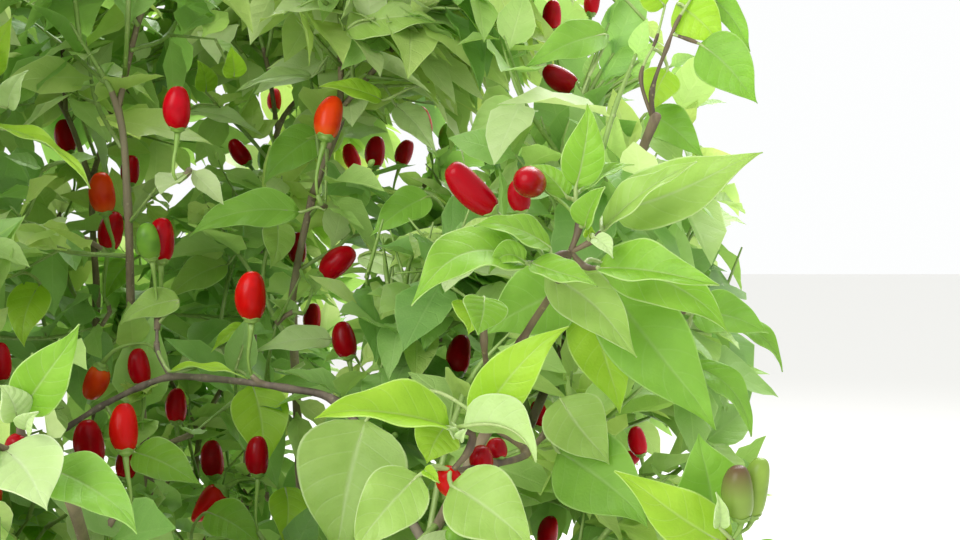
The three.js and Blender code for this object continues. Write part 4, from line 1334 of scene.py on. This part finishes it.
# Ripe chilli skin, taut and glossy: deeper colour in broad patches, paler towards the cup, very faint
# dimples. On an unripe one the deeper colour is a blush towards the tip
def fruitMaterial(name, skin, shade, cupEnd, blush=False):
    material, tree = newMaterial(name)
    place = addNode(tree, "TexCoord", {}, "Object")
    surface = addNode(tree, "UVMap", {}, uv_map="surface")
    along = addNode(tree, "SeparateXYZ", {0: surface}, "Y")
    patch = addNode(tree, "TexNoise", {"Vector": place, "Scale": fruitLook["patch"], "Detail": 2.0})
    kind = "blush" if blush else "patch"
    patchShare = addNode(tree, "MapRange", {
        "Value": along if blush else patch, "From Min": fruitLook[kind + "From"],
        "From Max": fruitLook[kind + "To"],
    })
    cupShare = addNode(tree, "MapRange", {
        "Value": along, "From Max": fruitLook["cupReach"], "To Min": fruitLook["cupShare"], "To Max": 0.0,
    }, interpolation_type="SMOOTHSTEP")
    body = addNode(tree, "Mix", {0: patchShare, 6: linear(skin), 7: linear(shade)}, 2, data_type="RGBA")
    tinted = addNode(tree, "Mix", {0: cupShare, 6: body, 7: linear(cupEnd)}, 2, data_type="RGBA")
    dimple = addNode(tree, "TexNoise", {"Vector": place, "Scale": fruitLook["dimple"], "Detail": 1.0})
    bump = addNode(tree, "Bump", {
        "Height": dimple, "Strength": fruitLook["bump"], "Distance": fruitLook["bumpHeight"],
    })
    skinShader = addNode(tree, "BsdfPrincipled", {
        "Base Color": tinted, "Roughness": fruitLook["roughness"], "IOR": fruitLook["ior"],
        "Specular IOR Level": fruitLook["specular"], "Normal": bump,
    })
    addNode(tree, "OutputMaterial", {"Surface": skinShader})
    return material


fruitTints = {
    "crimson": fruitMaterial("chilliCrimson", "#b80016", "#a00012", "#bc0a12"),
    "scarlet": fruitMaterial("chilliScarlet", "#c20c0a", "#ac0808", "#cf2210"),
    "dark": fruitMaterial("chilliDarkRed", "#9a0010", "#84000c", "#a2060e"),
    "orange": fruitMaterial("chilliOrange", "#d63c0c", "#c52a0a", "#e2661c"),
    "green": fruitMaterial("chilliGreen", "#6f9a35", "#5c8430", "#8bb04a"),
    "young": fruitMaterial("chilliYoungGreen", "#84a043", "#728c38", "#90aa4e"),
    "unripe": fruitMaterial("chilliUnripe", "#789040", "#5c3a34", "#7f9a42", True),
    "bud": fruitMaterial("chilliBud", "#b4cf7c", "#a3c267", "#c3d890"),
}
fruitOrder = list(fruitTints)
cupGreen = barkMaterial("chilliCupGreen", "#83a548", "#6d9038", "#a3bd6a", 0.45)
print("stage: materials,", len(bpy.data.materials))
# Leaves of the crown

leafShape = {
    "stalkShare": 0.1, "baseRound": 0.6, "tipPoint": 1.2, "stalkHalf": 0.55, "wave": 0.03, "waves": 2.3,
    "rows": (0, 0.11, 0.19, 0.31, 0.46, 0.63, 0.79, 0.92, 1), "columns": (-1, 0, 1), "droop": (0.06, 0.26),
    "fold": (0.1, 0.55), "twist": 0.5,
}
# Shares of the spray tints, the steps of painted shade and light by place in the mass, the size of a small
# leaf, and the chance of a painted sheen
tintAndPaintedLightRule = {
    "shares": (0.2, 0.36, 0.3, 0.14), "rim": 0.78, "inner": 0.5, "high": 660, "small": 34,
    "paintedSheenChance": 0.06,
}


# A leaf's half width along its length: the way along to one power times the way left to another, 1 at its
# widest
def leafOutline(t, stalkShare, a=leafShape["baseRound"], b=leafShape["tipPoint"]):
    x = np.clip((t - stalkShare) / (1 - stalkShare), 0, 1)
    return x**a * (1 - x) ** b / ((a / (a + b)) ** a * (b / (a + b)) ** b)


def gridUv(across, along):
    return np.stack(np.broadcast_arrays(across, along), axis=-1).reshape(-1, 2)


# Many leaves at once: each point is the foot, plus the way along, the way across and the lift. The halves
# rise with the fold, the tip droops with the square of the way along, the edge waves, and the blade turns by
# the twist
def leafSheets(leaves):
    t = np.array(leafShape["rows"])[None, :, None]
    s = np.array(leafShape["columns"])[None, None, :]
    base, along, normal, length, width, droop, fold, phase, twist = (
        gathered(leaves, key)[:, None, None]
        for key in ("base", "along", "normal", "length", "width", "droop", "fold", "phase", "twist")
    )
    side = np.cross(along, normal)
    half = width / 2 * leafOutline(t, leafShape["stalkShare"]) + leafShape["stalkHalf"] * (1 - t) ** 3
    wave = np.sin(2 * np.pi * (leafShape["waves"] * t + phase))
    ripple = leafShape["wave"] * length * s**2 * wave * np.sin(np.pi * t)
    cross = s * half * np.cos(fold)
    lift = np.abs(s) * half * np.sin(fold) + ripple
    turn = twist * t
    cross, lift = cross * np.cos(turn) - lift * np.sin(turn), lift * np.cos(turn) + cross * np.sin(turn)
    lift = lift - droop * length * t**2
    forward = t * length * (1 - 0.5 * droop * t) + 0 * s
    points = base + along * forward[..., None] + side * cross[..., None] + normal * lift[..., None]
    faces = repeated(gridQuads(t.size, s.size), len(leaves), t.size * s.size)
    return points.reshape(-1, 3), faces, np.tile(gridUv((s + 1) / 2, t), (len(leaves), 1))


# Deals each leaf its droop, fold, wave and twist, and each spray its tint. Painted shade and light: a leaf is
# a step deeper than its spray at the rim, where light falls, and low inside, where shade falls, and a step
# paler high inside.
# It is also a step paler where it's small, and now and then the palest, a painted sheen
leafDeal = np.random.default_rng(29)
for mass in everyMass:
    sprayTint = {}
    for leaf in mass["leaves"]:
        spread = leafDeal.random(6)
        for key, share in zip(("droop", "fold"), spread):
            low, high = leafShape[key]
            leaf[key] = low + (high - low) * share
        leaf["phase"] = spread[2]
        leaf["twist"] = (spread[3] - 0.5) * 2 * leafShape["twist"]
        spray = leaf["twig"]["number"] >> max(0, leaf["twig"]["level"] - 2)
        if spray not in sprayTint:
            sprayTint[spray] = 1 + leafDeal.choice(4, p=tintAndPaintedLightRule["shares"])
        half = np.array([*mass["half"][:1] * 2, mass["half"][1]])
        reach = np.linalg.norm((leaf["base"] - mass["middle"]) / half)
        # Painted shade and light: a step deeper at the rim and low inside, a step paler high inside
        step = int(reach > tintAndPaintedLightRule["rim"])
        if reach <= tintAndPaintedLightRule["inner"]:
            step = -1 if leaf["base"][2] > tintAndPaintedLightRule["high"] else 1
        tint = sprayTint[spray] + step - (1 if leaf["length"] < tintAndPaintedLightRule["small"] else 0)
        # The palest tint, dealt now and then, is a painted sheen
        leaf["tint"] = 0 if spread[4] < tintAndPaintedLightRule["paintedSheenChance"] else int(np.clip(tint, 0, 4))


def leafPiece(name, group):
    leaves = [leaf for mass in group for leaf in mass["leaves"]]
    points, faces, uv = leafSheets(leaves)
    slots = np.repeat([leaf["tint"] for leaf in leaves], len(faces) // len(leaves))
    piece = makePiece(name, points, [faces], leafTints, slots, uv)
    return piece


for storey in storeys:
    for half in (0, 1):
        group = [mass for mass in masses if mass["storey"] == storey["name"]][half * 3:half * 3 + 3]
        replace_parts(leafPiece(f"{storey['name']}Leaves{half + 1}", group), *[mass["name"] for mass in group])
leafPiece("sprayLeaves", sprays)
print("stage: crown leaves")

bladeRule = {
    "rowPower": 0.9, "hookDrop": 0.8, "hookReach": 0.28, "footHalf": 0.5, "foldEase": 0.35, "waves": 2.1,
    "wavePhase": 0.37, "waveSkew": 0.3, "wavePower": 2.2, "waveEase": 0.7,
}


# Leaves of the near shoots: a finer grid, whose side veins sink and whose blade puffs up between them
def shootLeafSheet(leaf, index):
    t = np.linspace(0, 1, shootSizes["rows"])[:, None] ** bladeRule["rowPower"]
    s = np.array(shootSizes["columns"])[None, :]
    line = leaf["base"] + leaf["along"] * leaf["length"] * t
    line = line + leaf["bulge"] * leaf["length"] * 4 * t * (1 - t)
    hooked = np.cross(leaf["along"], leaf["normal"]) * (1 if index % 2 else -1)
    hooked = hooked - leaf["normal"] * bladeRule["hookDrop"]
    bent = np.clip((t - shootSizes["hookFrom"]) / bladeRule["hookReach"], 0, 1) ** 2
    line = line + hooked * shootSizes["hook"] * leaf["length"] * bent
    tangent = unit(np.gradient(line, t[:, 0], axis=0))
    side = unit(np.cross(tangent, leaf["normal"]))
    normal = np.cross(side, tangent)
    half = leaf["width"] / 2 * leafOutline(t, 0.0, shootSizes["baseRound"], shootSizes["tipPoint"])
    half = half + bladeRule["footHalf"] * (1 - t) ** 4
    fold = leaf["fold"] * (1 - bladeRule["foldEase"] * t)
    vein = (t - leafLook["sweep"] * np.abs(s) ** leafLook["sweepPower"]) * leafLook["veinCount"]
    apart = np.abs((vein + leafLook["halfStep"] * (s > 0) + 0.5) % 1 - 0.5) * 2
    puff = shootSizes["quilt"] * apart * np.sin(np.pi * np.clip(np.abs(s), 0, 1)) * np.sin(np.pi * t)
    phase = index * bladeRule["wavePhase"]
    wave = np.sin(2 * np.pi * (bladeRule["waves"] * t + phase + bladeRule["waveSkew"] * s))
    ripple = shootSizes["wave"] * leaf["length"] * np.abs(s) ** bladeRule["wavePower"] * wave
    lift = np.abs(s) * half * np.sin(fold) + puff + ripple * np.sin(np.pi * t) ** bladeRule["waveEase"]
    cross = s * half * np.cos(fold)
    points = line[:, None] + side[:, None] * cross[..., None] + normal[:, None] * lift[..., None]
    return points.reshape(-1, 3), gridUv((s + 1) / 2, t), line, normal


sheets = [shootLeafSheet(leaf, i) for i, leaf in enumerate(nearLeaves)]
rows, columns = shootSizes["rows"], len(shootSizes["columns"])
quads = repeated(gridQuads(rows, columns), len(sheets), rows * columns)
tintNames = list(sprigTints)
slots = np.repeat([tintNames.index(leaf["tint"]) for leaf in nearLeaves], len(quads) // len(sheets))
sprigMaterials = list(sprigTints.values()) + [leafUnder] * len(sprigTints)
sheetPoints, sheetUv = (np.vstack([sheet[part] for sheet in sheets]) for part in (0, 1))
sprigPiece = makePiece("nearLeaves", sheetPoints, [quads], sprigMaterials, slots, sheetUv)
blade = sprigPiece.modifiers.new("bladeThickness", "SOLIDIFY")
blade.thickness = shootSizes["thickness"] * mm
blade.offset = -1
blade.material_offset = len(sprigTints)
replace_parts(sprigPiece, "near_shoots", "left_shoot", "right_shoot", "top_shoot")
print("stage: near leaves,", len(nearLeaves))


# The rule's own fruit, and more at finer forks; the camera's frame has no ripe ones beyond the photo's

dealRule = {
    "turnBack": 2, "least": 0.8, "varies": 0.35, "stalkLeast": 0.75, "stalkVaries": 0.6, "plump": 1.12,
    "edge": 20, "ripe": ("crimson", "crimson", "scarlet", "dark", "orange", "green"),
}
fruitDeal = np.random.default_rng(83)
ruleFruit = [fruit for mass in masses for fruit in mass["fruits"]]
for mass in everyMass:
    for twig in mass["twigs"]:
        if twig["cut"] or twig["level"] < 2 or twig["level"] > growth["levels"]:
            continue
        out = np.linalg.norm((twig["end"] - np.array(fruitRule["crown"])) / np.array(fruitRule["crownHalf"]))
        if fruitDeal.random() > fruitRule["outerChance" if out > fruitRule["outer"] else "fineChance"]:
            continue
        sideways = turned(twig["across"], twig["heading"], fruitDeal.random() * 360)
        lean = unit(sideways * fruitRule["splay"] + up)
        foot = twig["end"] - twig["heading"] * dealRule["turnBack"]
        length = fruitRule["length"] * (dealRule["least"] + fruitDeal.random() * dealRule["varies"])
        stalk = dealRule["stalkLeast"] + fruitDeal.random() * dealRule["stalkVaries"]
        fruit = {
            "foot": foot, "base": foot + lean * fruitRule["stalk"] * stalk, "axis": lean, "length": length,
            "width": fruitRule["width"] * dealRule["plump"], "leaving": twig["heading"] + lean, "twig": twig,
        }
        if fits(mass, fruitLine(fruit), growth["leafGap"], growth["fruitSlack"] + twig["extra"]):
            ruleFruit.append(fruit)
for fruit in ruleFruit:
    u, v, depth = photoPlace(fruit["base"])
    seen = -dealRule["edge"] < u < cameraSetup["width"] + dealRule["edge"] and depth > 0
    seen = seen and -dealRule["edge"] < v < cameraSetup["height"] + dealRule["edge"]
    ripe = fruitDeal.choice(dealRule["ripe"])
    fruit["tint"] = "green" if seen else str(ripe)
    fruit["near"] = seen and depth < fruitRule["greenFrom"]
ruleFruit = [fruit for fruit in ruleFruit if not fruit["near"] and not hidesSpot(fruitLine(fruit))]
for fruit in ruleFruit:
    fruit["twig"]["used"] = True

# Small pale buds at the ends of some of the finest twigs
budShape = {"rise": 0.4, "stalk": 5, "length": 5.5, "width": 3.2}
buds = []
for mass in masses:
    for twig in mass["twigs"]:
        finest = twig["level"] == growth["fineLevels"] - 1 and twig["used"]
        if finest and fruitDeal.random() < fruitRule["budChance"]:
            lean = unit(twig["heading"] + up * budShape["rise"])
            buds.append({
                "foot": twig["end"], "base": twig["end"] + lean * budShape["stalk"], "axis": lean,
                "length": budShape["length"], "width": budShape["width"], "leaving": twig["heading"],
                "tint": "bud",
            })


# Twigs, stalks and spurs

# Of each kind the rings' distance, the sides, the swelling at its joints and the radius from which it's
# woody
tubeKinds = {
    "crown": (9.0, 5, 0.3, 1.5), "spurs": (6.0, 6, 0.1, 1.3), "branch": (2.4, 14, 0.3, 0.5),
    "near": (1.3, 12, 0.55, 0.72), "stalks": (2.6, 7, 0.0, 9.0),
}
tubeShape = {"swellReach": 3.4, "foot": 0.5, "tip": 0.7}


# Joins closed tubes, each given by its points, how many rings and how many sides, into one mesh
def joined(skins):
    points, quads, caps, offset = [], [], [], 0
    for skin, rows, sides in skins:
        wall, ends = closedTube(rows, sides)
        points.append(skin)
        quads.append(wall + offset)
        caps.append(ends + offset)
        offset += len(skin)
    return np.vstack(points), [np.vstack(quads), np.vstack(caps)]


# Tubes along paths: rings across a smooth curve, swollen at the path's own joints, closed at both ends
def tubes(paths, spacing, sides, swell):
    turn = evenTurns(sides)
    skins, thick = [], []
    for path in paths:
        joints = np.asarray(path["points"], float)
        run = np.concatenate([[0], np.cumsum(np.linalg.norm(np.diff(joints, axis=0), axis=1))])
        count = max(3, int(run[-1] / spacing) + 2)
        line = spacedPoints(joints, count)
        at = np.linspace(0, run[-1], count)
        radius = np.interp(at, run, path["radii"])
        near = np.abs(at[:, None] - run[None, 1:-1])
        radius = radius * (1 + swell * np.exp(-((near / tubeShape["swellReach"]) ** 2)).sum(axis=1))
        tangent = unit(np.gradient(line, axis=0))
        first = unit(np.cross(tangent, np.eye(3)[int(np.argmin(np.abs(tangent.mean(axis=0))))]))
        rings = line[:, None] + radius[:, None, None] * spokes(turn, first, np.cross(tangent, first))
        foot = line[0] - tangent[0] * radius[0] * tubeShape["foot"]
        tip = line[-1] + tangent[-1] * radius[-1] * tubeShape["tip"]
        skins.append((np.vstack([rings.reshape(-1, 3), foot, tip]), count, sides))
        thick.append(np.concatenate([np.repeat(radius, sides), radius[[0, -1]]]))
    points, faces = joined(skins)
    return points, faces, np.concatenate(thick)


def twigPiece(name, paths, kind, thin=greenBark, thick=youngBark):
    spacing, sides, swell, woodyFrom = tubeKinds[kind]
    points, faces, girth = tubes(paths, spacing, sides, swell)
    slots = np.concatenate([(girth[group].mean(axis=1) > woodyFrom).astype(int) for group in faces])
    piece = makePiece(name, points, faces, [thin, thick], slots)


# A stem's path runs through the ends of its twigs that still carry something, and is drawn in at its tip
def stemPaths(group):
    paths = []
    for mass in group:
        for stem in mass["stems"]:
            used = [twig for twig in stem["twigs"] if twig["used"]]
            if used:
                radii = stem["leadRadii"] + [twig["radius"] for twig in used]
                radii[-1] *= growth["tipTaper"]
                paths.append({"points": stem["lead"] + [twig["end"] for twig in used], "radii": radii})
    return paths


for mass in everyMass:
    for twig in reversed(mass["twigs"]):
        if twig["used"] and twig["parent"] is not None:
            twig["parent"]["used"] = True
for storey in storeys:
    paths = stemPaths([mass for mass in masses if mass["storey"] == storey["name"]])
    twigPiece(f"{storey['name']}Twigs", paths, "crown")
branchPaths = [
    {"points": line, "radii": list(bough["radii"])} for line, bough in zip(boughLines, photoBoughs)
]
thinned = [
    {**path, "radii": [radius * shootSizes["twigShare"] for radius in path["radii"]]} for path in twigPaths
]
twigPiece("sprayTwigs", stemPaths(sprays), "crown")
twigPiece("shortSpurs", spurs, "spurs")
twigPiece("crossingBranch", branchPaths, "branch", youngBark, branchBark)
twigPiece("nearTwigs", thinned, "near", sprigStalk, sprigBark)

petioleShape = {"rise": 0.08, "back": 0.1, "under": 0.4, "ribUnder": 0.45, "ribRows": slice(2, 18, 3)}


# A near leaf's stalk leaves the closest point of a twig, bends to the leaf's foot and runs on as its midrib
def petiolePath(leaf, line, normal):
    joint = leaf.get("joint")
    if joint is None:
        joint = nearest(carriers, leaf["base"])
    reach = span(joint, leaf["base"])
    bend = (joint + leaf["base"]) / 2
    bend = bend + up * reach * petioleShape["rise"] - leaf["along"] * reach * petioleShape["back"]
    foot = leaf["base"] - leaf["normal"] * petioleShape["under"]
    rib = line[petioleShape["ribRows"]] - normal[petioleShape["ribRows"]] * petioleShape["ribUnder"]
    ribRadii = np.linspace(shootSizes["midrib"], shootSizes["ribTip"], len(rib))
    return {
        "points": np.vstack([joint, bend, foot, rib]),
        "radii": np.concatenate([[shootSizes["petiole"]] * 3, ribRadii]),
    }


petioles = [petiolePath(leaf, sheet[2], sheet[3]) for leaf, sheet in zip(nearLeaves, sheets)]
twigPiece("nearLeafStalks", petioles, "stalks", sprigStalk)
print("stage: twigs")


# Fruit

fruitShape = {"barrel": 0.75, "shoulder": 0.12, "bow": 0.04}
cupShape = {
    "rows": (-0.07, -0.04, -0.01, 0.02, 0.045, 0.06, 0.052), "teeth": 5, "toothReach": 0.035,
    "tooth": (0, 0, 0, 0.1, 0.4, 1, 1), "collar": (0.12, 0.16, 0.27, 0, 0, 0, 0),
    "proud": (0, 0, 0, 0.06, 0.06, 0.045, -0.03), "least": 0.3,
}
stalkShape = {"sunk": 0.06, "leave": 0.35, "enter": 0.4, "radii": (0.06, 0.06, 0.068, 0.085, 0.12)}


# A fruit's radius along its axis, 1 at its widest: a half turn's sine to a power, fuller towards the cup
def barrelAt(x, fruits):
    barrel, shoulder = (
        np.array([fruit.get(key, fruitShape[key]) for fruit in fruits]).reshape(-1, *[1] * (x.ndim - 1))
        for key in ("barrel", "shoulder")
    )
    k = np.arccos(np.clip(1 - 2 * x, -1, 1))
    return np.sin(k) ** barrel * (1 + shoulder * (0.5 - x))


def fruitFrames(fruits):
    axis = gathered(fruits, "axis")
    first = unit(np.cross(axis, [0.31, 0.87, 0.38]))
    return axis, first, np.cross(axis, first)


# Many fruit at once: rings along a slightly bowed axis, closed at both poles
def fruitBodies(fruits, rings, sides):
    x = (1 - np.cos(np.pi * np.arange(1, rings) / rings)) / 2
    turn = evenTurns(sides)
    axis, first, second = fruitFrames(fruits)
    base, length, width = (gathered(fruits, key) for key in ("base", "length", "width"))
    bow = np.sin(np.pi * x) * length[:, None] * fruitShape["bow"]
    middle = base[:, None] + axis[:, None] * (x * length[:, None])[..., None]
    middle = middle + first[:, None] * bow[..., None]
    radius = (width[:, None] / 2 * barrelAt(x[None], fruits))[:, :, None, None]
    body = middle[:, :, None] + spokes(turn, first, second)[:, None] * radius
    poles = np.stack([base, base + axis * length[:, None]], axis=1)
    points = np.concatenate([body.reshape(len(fruits), -1, 3), poles], axis=1)
    faces = [repeated(group, len(fruits), points.shape[1]) for group in closedTube(rings - 1, sides)]
    uv = np.vstack([gridUv(turn[None] / (2 * np.pi), x[:, None]), [[0.5, 0], [0.5, 1]]])
    return points.reshape(-1, 3), faces, np.tile(uv, (len(fruits), 1))


# The green cup: a collar on the stalk that opens over the fruit's shoulder and ends in five low teeth
def fruitCups(fruits, sides):
    turn = evenTurns(sides)
    rows, tooth, collar, proud = (
        np.array(cupShape[key])[:, None] for key in ("rows", "tooth", "collar", "proud")
    )
    x = rows + cupShape["toothReach"] * ((0.5 + 0.5 * np.cos(cupShape["teeth"] * turn)) * tooth)
    axis, first, second = fruitFrames(fruits)
    base, length, width = (gathered(fruits, key)[:, None, None] for key in ("base", "length", "width"))
    hug = width / 2 * np.maximum(barrelAt(np.clip(x, 0, 1)[None], fruits) + proud, cupShape["least"])
    radius = np.where(collar > 0, width * collar, hug)
    points = base + axis[:, None, None] * (x * length)[..., None]
    points = points + spokes(turn, first, second)[:, None] * radius[..., None]
    return points.reshape(-1, 3), repeated(gridQuads(len(x), sides, True), len(fruits), x.size)


# A stalk leaves its twig, curves upright and thickens into the cup: a cubic with two handles
def stalkPath(fruit):
    end = fruit["base"] - fruit["axis"] * stalkShape["sunk"] * fruit["length"]
    reach = span(fruit["foot"], end)
    t = np.linspace(0, 1, 5)[:, None]
    s = 1 - t
    leave = fruit["foot"] + unit(fruit["leaving"]) * reach * stalkShape["leave"]
    enter = end - fruit["axis"] * reach * stalkShape["enter"]
    line = s**3 * fruit["foot"] + 3 * s**2 * t * leave + 3 * s * t**2 * enter + t**3 * end
    return {"points": line, "radii": np.array(stalkShape["radii"]) * fruit["width"]}


def fruitPieces(name, fruits, rings, sides, cupSides, stalkSpacing, stalkSides):
    points, faces, uv = fruitBodies(fruits, rings, sides)
    tint = np.array([fruitOrder.index(fruit["tint"]) for fruit in fruits])
    slots = np.concatenate([np.repeat(tint, len(group) // len(fruits)) for group in faces])
    makePiece(f"{name}Bodies", points, faces, list(fruitTints.values()), slots, uv)
    if cupSides > 0:
        cupPoints, cupFaces = fruitCups(fruits, cupSides)
        makePiece(f"{name}Cups", cupPoints, [cupFaces], [cupGreen])
    stalks = [stalkPath(fruit) for fruit in fruits]
    stalkPoints, stalkFaces = tubes(stalks, stalkSpacing, stalkSides, 0.0)[:2]
    makePiece(f"{name}Stalks", stalkPoints, stalkFaces, [cupGreen])


fruitPieces("viewFruit", placedFruit, 14, 14, 20, 4.0, 7)
fruitPieces("crownFruit", ruleFruit, 9, 9, 10, 8.0, 5)
fruitPieces("nearFruit", nearFruits, 40, 36, 40, 1.6, 12)
fruitPieces("bud", buds, 5, 6, 0, 5.0, 4)
print("stage: fruit,", len(placedFruit), "placed,", len(ruleFruit), "by rule,", len(buds), "buds")


# Bark over the stem and boughs

barkShape = {
    "ringSpacing": 3.8, "stemSides": 40, "boughSides": 16, "knot": 0.24, "knotReach": 9.0, "collar": 0.1,
    "collarReach": 7, "ridge": 0.045, "fineRidge": 0.025, "scarSpacing": 33.0, "scar": 0.1,
    "scarReach": 2.2, "scarStray": 6, "sway": 0.04, "rootLobes": 0.28, "rootReach": 14, "rootShare": 0.6,
    "upright": 6, "uprightReach": 8, "domeTurns": (35, 62, 82), "domeRise": 0.9, "poleRise": 0.92,
    "phaseStep": 1.7,
}


# A limb's skin over angle and way along: its taper, plus lobes where the foot flares, a knot at its fork, a
# collar at its start, long ridges that wander, and half-ring scars where leaves once sat
def barkSkin(limb, index):
    isStem = limb["kind"] == "stem"
    line = spacedPoints(limb["points"], 200)
    length = float(np.linalg.norm(np.diff(line, axis=0), axis=1).sum())
    count = int(length / barkShape["ringSpacing"]) + 2
    sides = barkShape["stemSides" if isStem else "boughSides"]
    line = spacedPoints(limb["points"], count)
    way = np.linspace(0, length, count)[:, None]
    turn = evenTurns(sides)
    phase = index * barkShape["phaseStep"]
    radius = np.interp(way, np.linspace(0, length, len(limb["radii"])), limb["radii"])
    shape = 1 + barkShape["knot"] * np.exp(-(((length - way) / barkShape["knotReach"]) ** 2))
    if isStem:
        waves = np.cos(5 * turn + 0.6) + 0.5 * np.cos(3 * turn + 2)
        lobes = np.exp(-way / barkShape["rootReach"]) * barkShape["rootLobes"] * waves
        shape = shape + lobes * barkShape["rootShare"]
    else:
        shape = shape + barkShape["collar"] * np.exp(-((way / barkShape["collarReach"]) ** 2))
    wander = np.sin(7 * turn + 1.6 * np.sin(way / 21 + phase) + phase)
    shape = shape + barkShape["ridge"] * wander * np.sin(way / 37 + turn)
    shape = shape + barkShape["fineRidge"] * np.sin(13 * turn - 1.1 * np.sin(way / 9 + phase))
    shape = shape + barkShape["sway"] * np.sin(way / 15 + turn + phase)
    for k in range(1, int(length / barkShape["scarSpacing"])):
        at = k * barkShape["scarSpacing"] + barkShape["scarStray"] * math.sin(k * 2.3 + phase)
        facing = 0.5 + 0.5 * np.cos(turn - k * 2.4 - phase)
        scar = np.exp(-(((way - at) / barkShape["scarReach"]) ** 2))
        shape = shape + barkShape["scar"] * facing**1.5 * scar
    tangent = unit(np.gradient(line, axis=0))
    if isStem:
        tangent = unit(tangent + up * barkShape["upright"] * np.exp(-way / barkShape["uprightReach"]))
    guide = np.array([1.0, 0, 0]) if abs(tangent[:, 0].mean()) < 0.6 else np.array([0, 1.0, 0])
    first = unit(np.cross(tangent, guide))
    rings = line[:, None] + spokes(turn, first, np.cross(tangent, first)) * (radius * shape)[..., None]
    lean = np.radians(barkShape["domeTurns"])
    crown = (line[-1] + tangent[-1] * (np.sin(lean) * radius[-1] * barkShape["domeRise"])[:, None])[:, None]
    dome = crown + (rings[-1] - line[-1])[None] * np.cos(lean)[:, None, None]
    rings = np.concatenate([rings, dome])
    if isStem:
        rings[0, :, 2] = 0
    top = line[-1] + tangent[-1] * radius[-1] * barkShape["poleRise"]
    return np.vstack([rings.reshape(-1, 3), rings[0].mean(axis=0), top]), len(rings), sides


# The skins of several limbs as one piece
def barkPiece(name, group, material):
    points, faces = joined([barkSkin(limb, index) for index, limb in enumerate(group)])
    piece = makePiece(name, points, faces, [material])
    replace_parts(piece, *[limb["name"] for limb in group])


barkPiece("woodyStemAndBoughs", [limb for limb in limbs if limb["kind"] != "young"], oldBark)
barkPiece("youngBoughs", [limb for limb in limbs if limb["kind"] == "young"], youngBark)
print("stage: bark")


# Floor, world and lights

stageSetup = {
    "floor": 14.0, "floorColour": "#f2f1ed", "floorRoughness": 0.7, "grain": 300.0, "bump": 0.1,
    "bumpHeight": 0.0005, "worldColour": "#f5f6f6", "worldStrength": 1.08, "aim": (0.08, -0.05, 0.62),
}
# Each light's place, size and power
softLights = {"skyLight": ((0.35, 1.3, 2.1), 2.2, 80.0), "fillLight": ((-1.1, -1.9, 1.7), 1.8, 48.0)}
half = stageSetup["floor"] / 2
floorMesh = bpy.data.meshes.new("studioFloor")
floorCorners = [(-half, -half, 0), (half, -half, 0), (half, half, 0), (-half, half, 0)]
floorMesh.from_pydata(floorCorners, [], [(0, 1, 2, 3)])
floorObject = bpy.data.objects.new("studioFloor", floorMesh)
bpy.context.scene.collection.objects.link(floorObject)
floorMaterial, floorTree = newMaterial("studioPaper")
floorPlace = addNode(floorTree, "TexCoord", {}, "Object")
floorGrain = addNode(floorTree, "TexNoise", {"Vector": floorPlace, "Scale": stageSetup["grain"]})
floorBump = addNode(floorTree, "Bump", {
    "Height": floorGrain, "Strength": stageSetup["bump"], "Distance": stageSetup["bumpHeight"],
})
floorSkin = addNode(floorTree, "BsdfPrincipled", {
    "Base Color": linear(stageSetup["floorColour"]), "Roughness": stageSetup["floorRoughness"],
    "Normal": floorBump,
})
addNode(floorTree, "OutputMaterial", {"Surface": floorSkin})
floorMesh.materials.append(floorMaterial)

world = bpy.data.worlds.new("studioWorld")
world.use_nodes = True
sky = world.node_tree.nodes["Background"]
sky.inputs["Color"].default_value = linear(stageSetup["worldColour"])
sky.inputs["Strength"].default_value = stageSetup["worldStrength"]
bpy.context.scene.world = world
bpy.context.scene.view_settings.view_transform = "Standard"


def addSoftLight(name, place, size, power):
    data = bpy.data.lights.new(name, "AREA")
    data.shape = "DISK"
    data.size = size
    data.energy = power
    light = bpy.data.objects.new(name, data)
    light.location = place
    light.rotation_euler = (Vector(stageSetup["aim"]) - Vector(place)).to_track_quat("-Z", "Y").to_euler()
    bpy.context.scene.collection.objects.link(light)


for name, setup in softLights.items():
    addSoftLight(name, *setup)
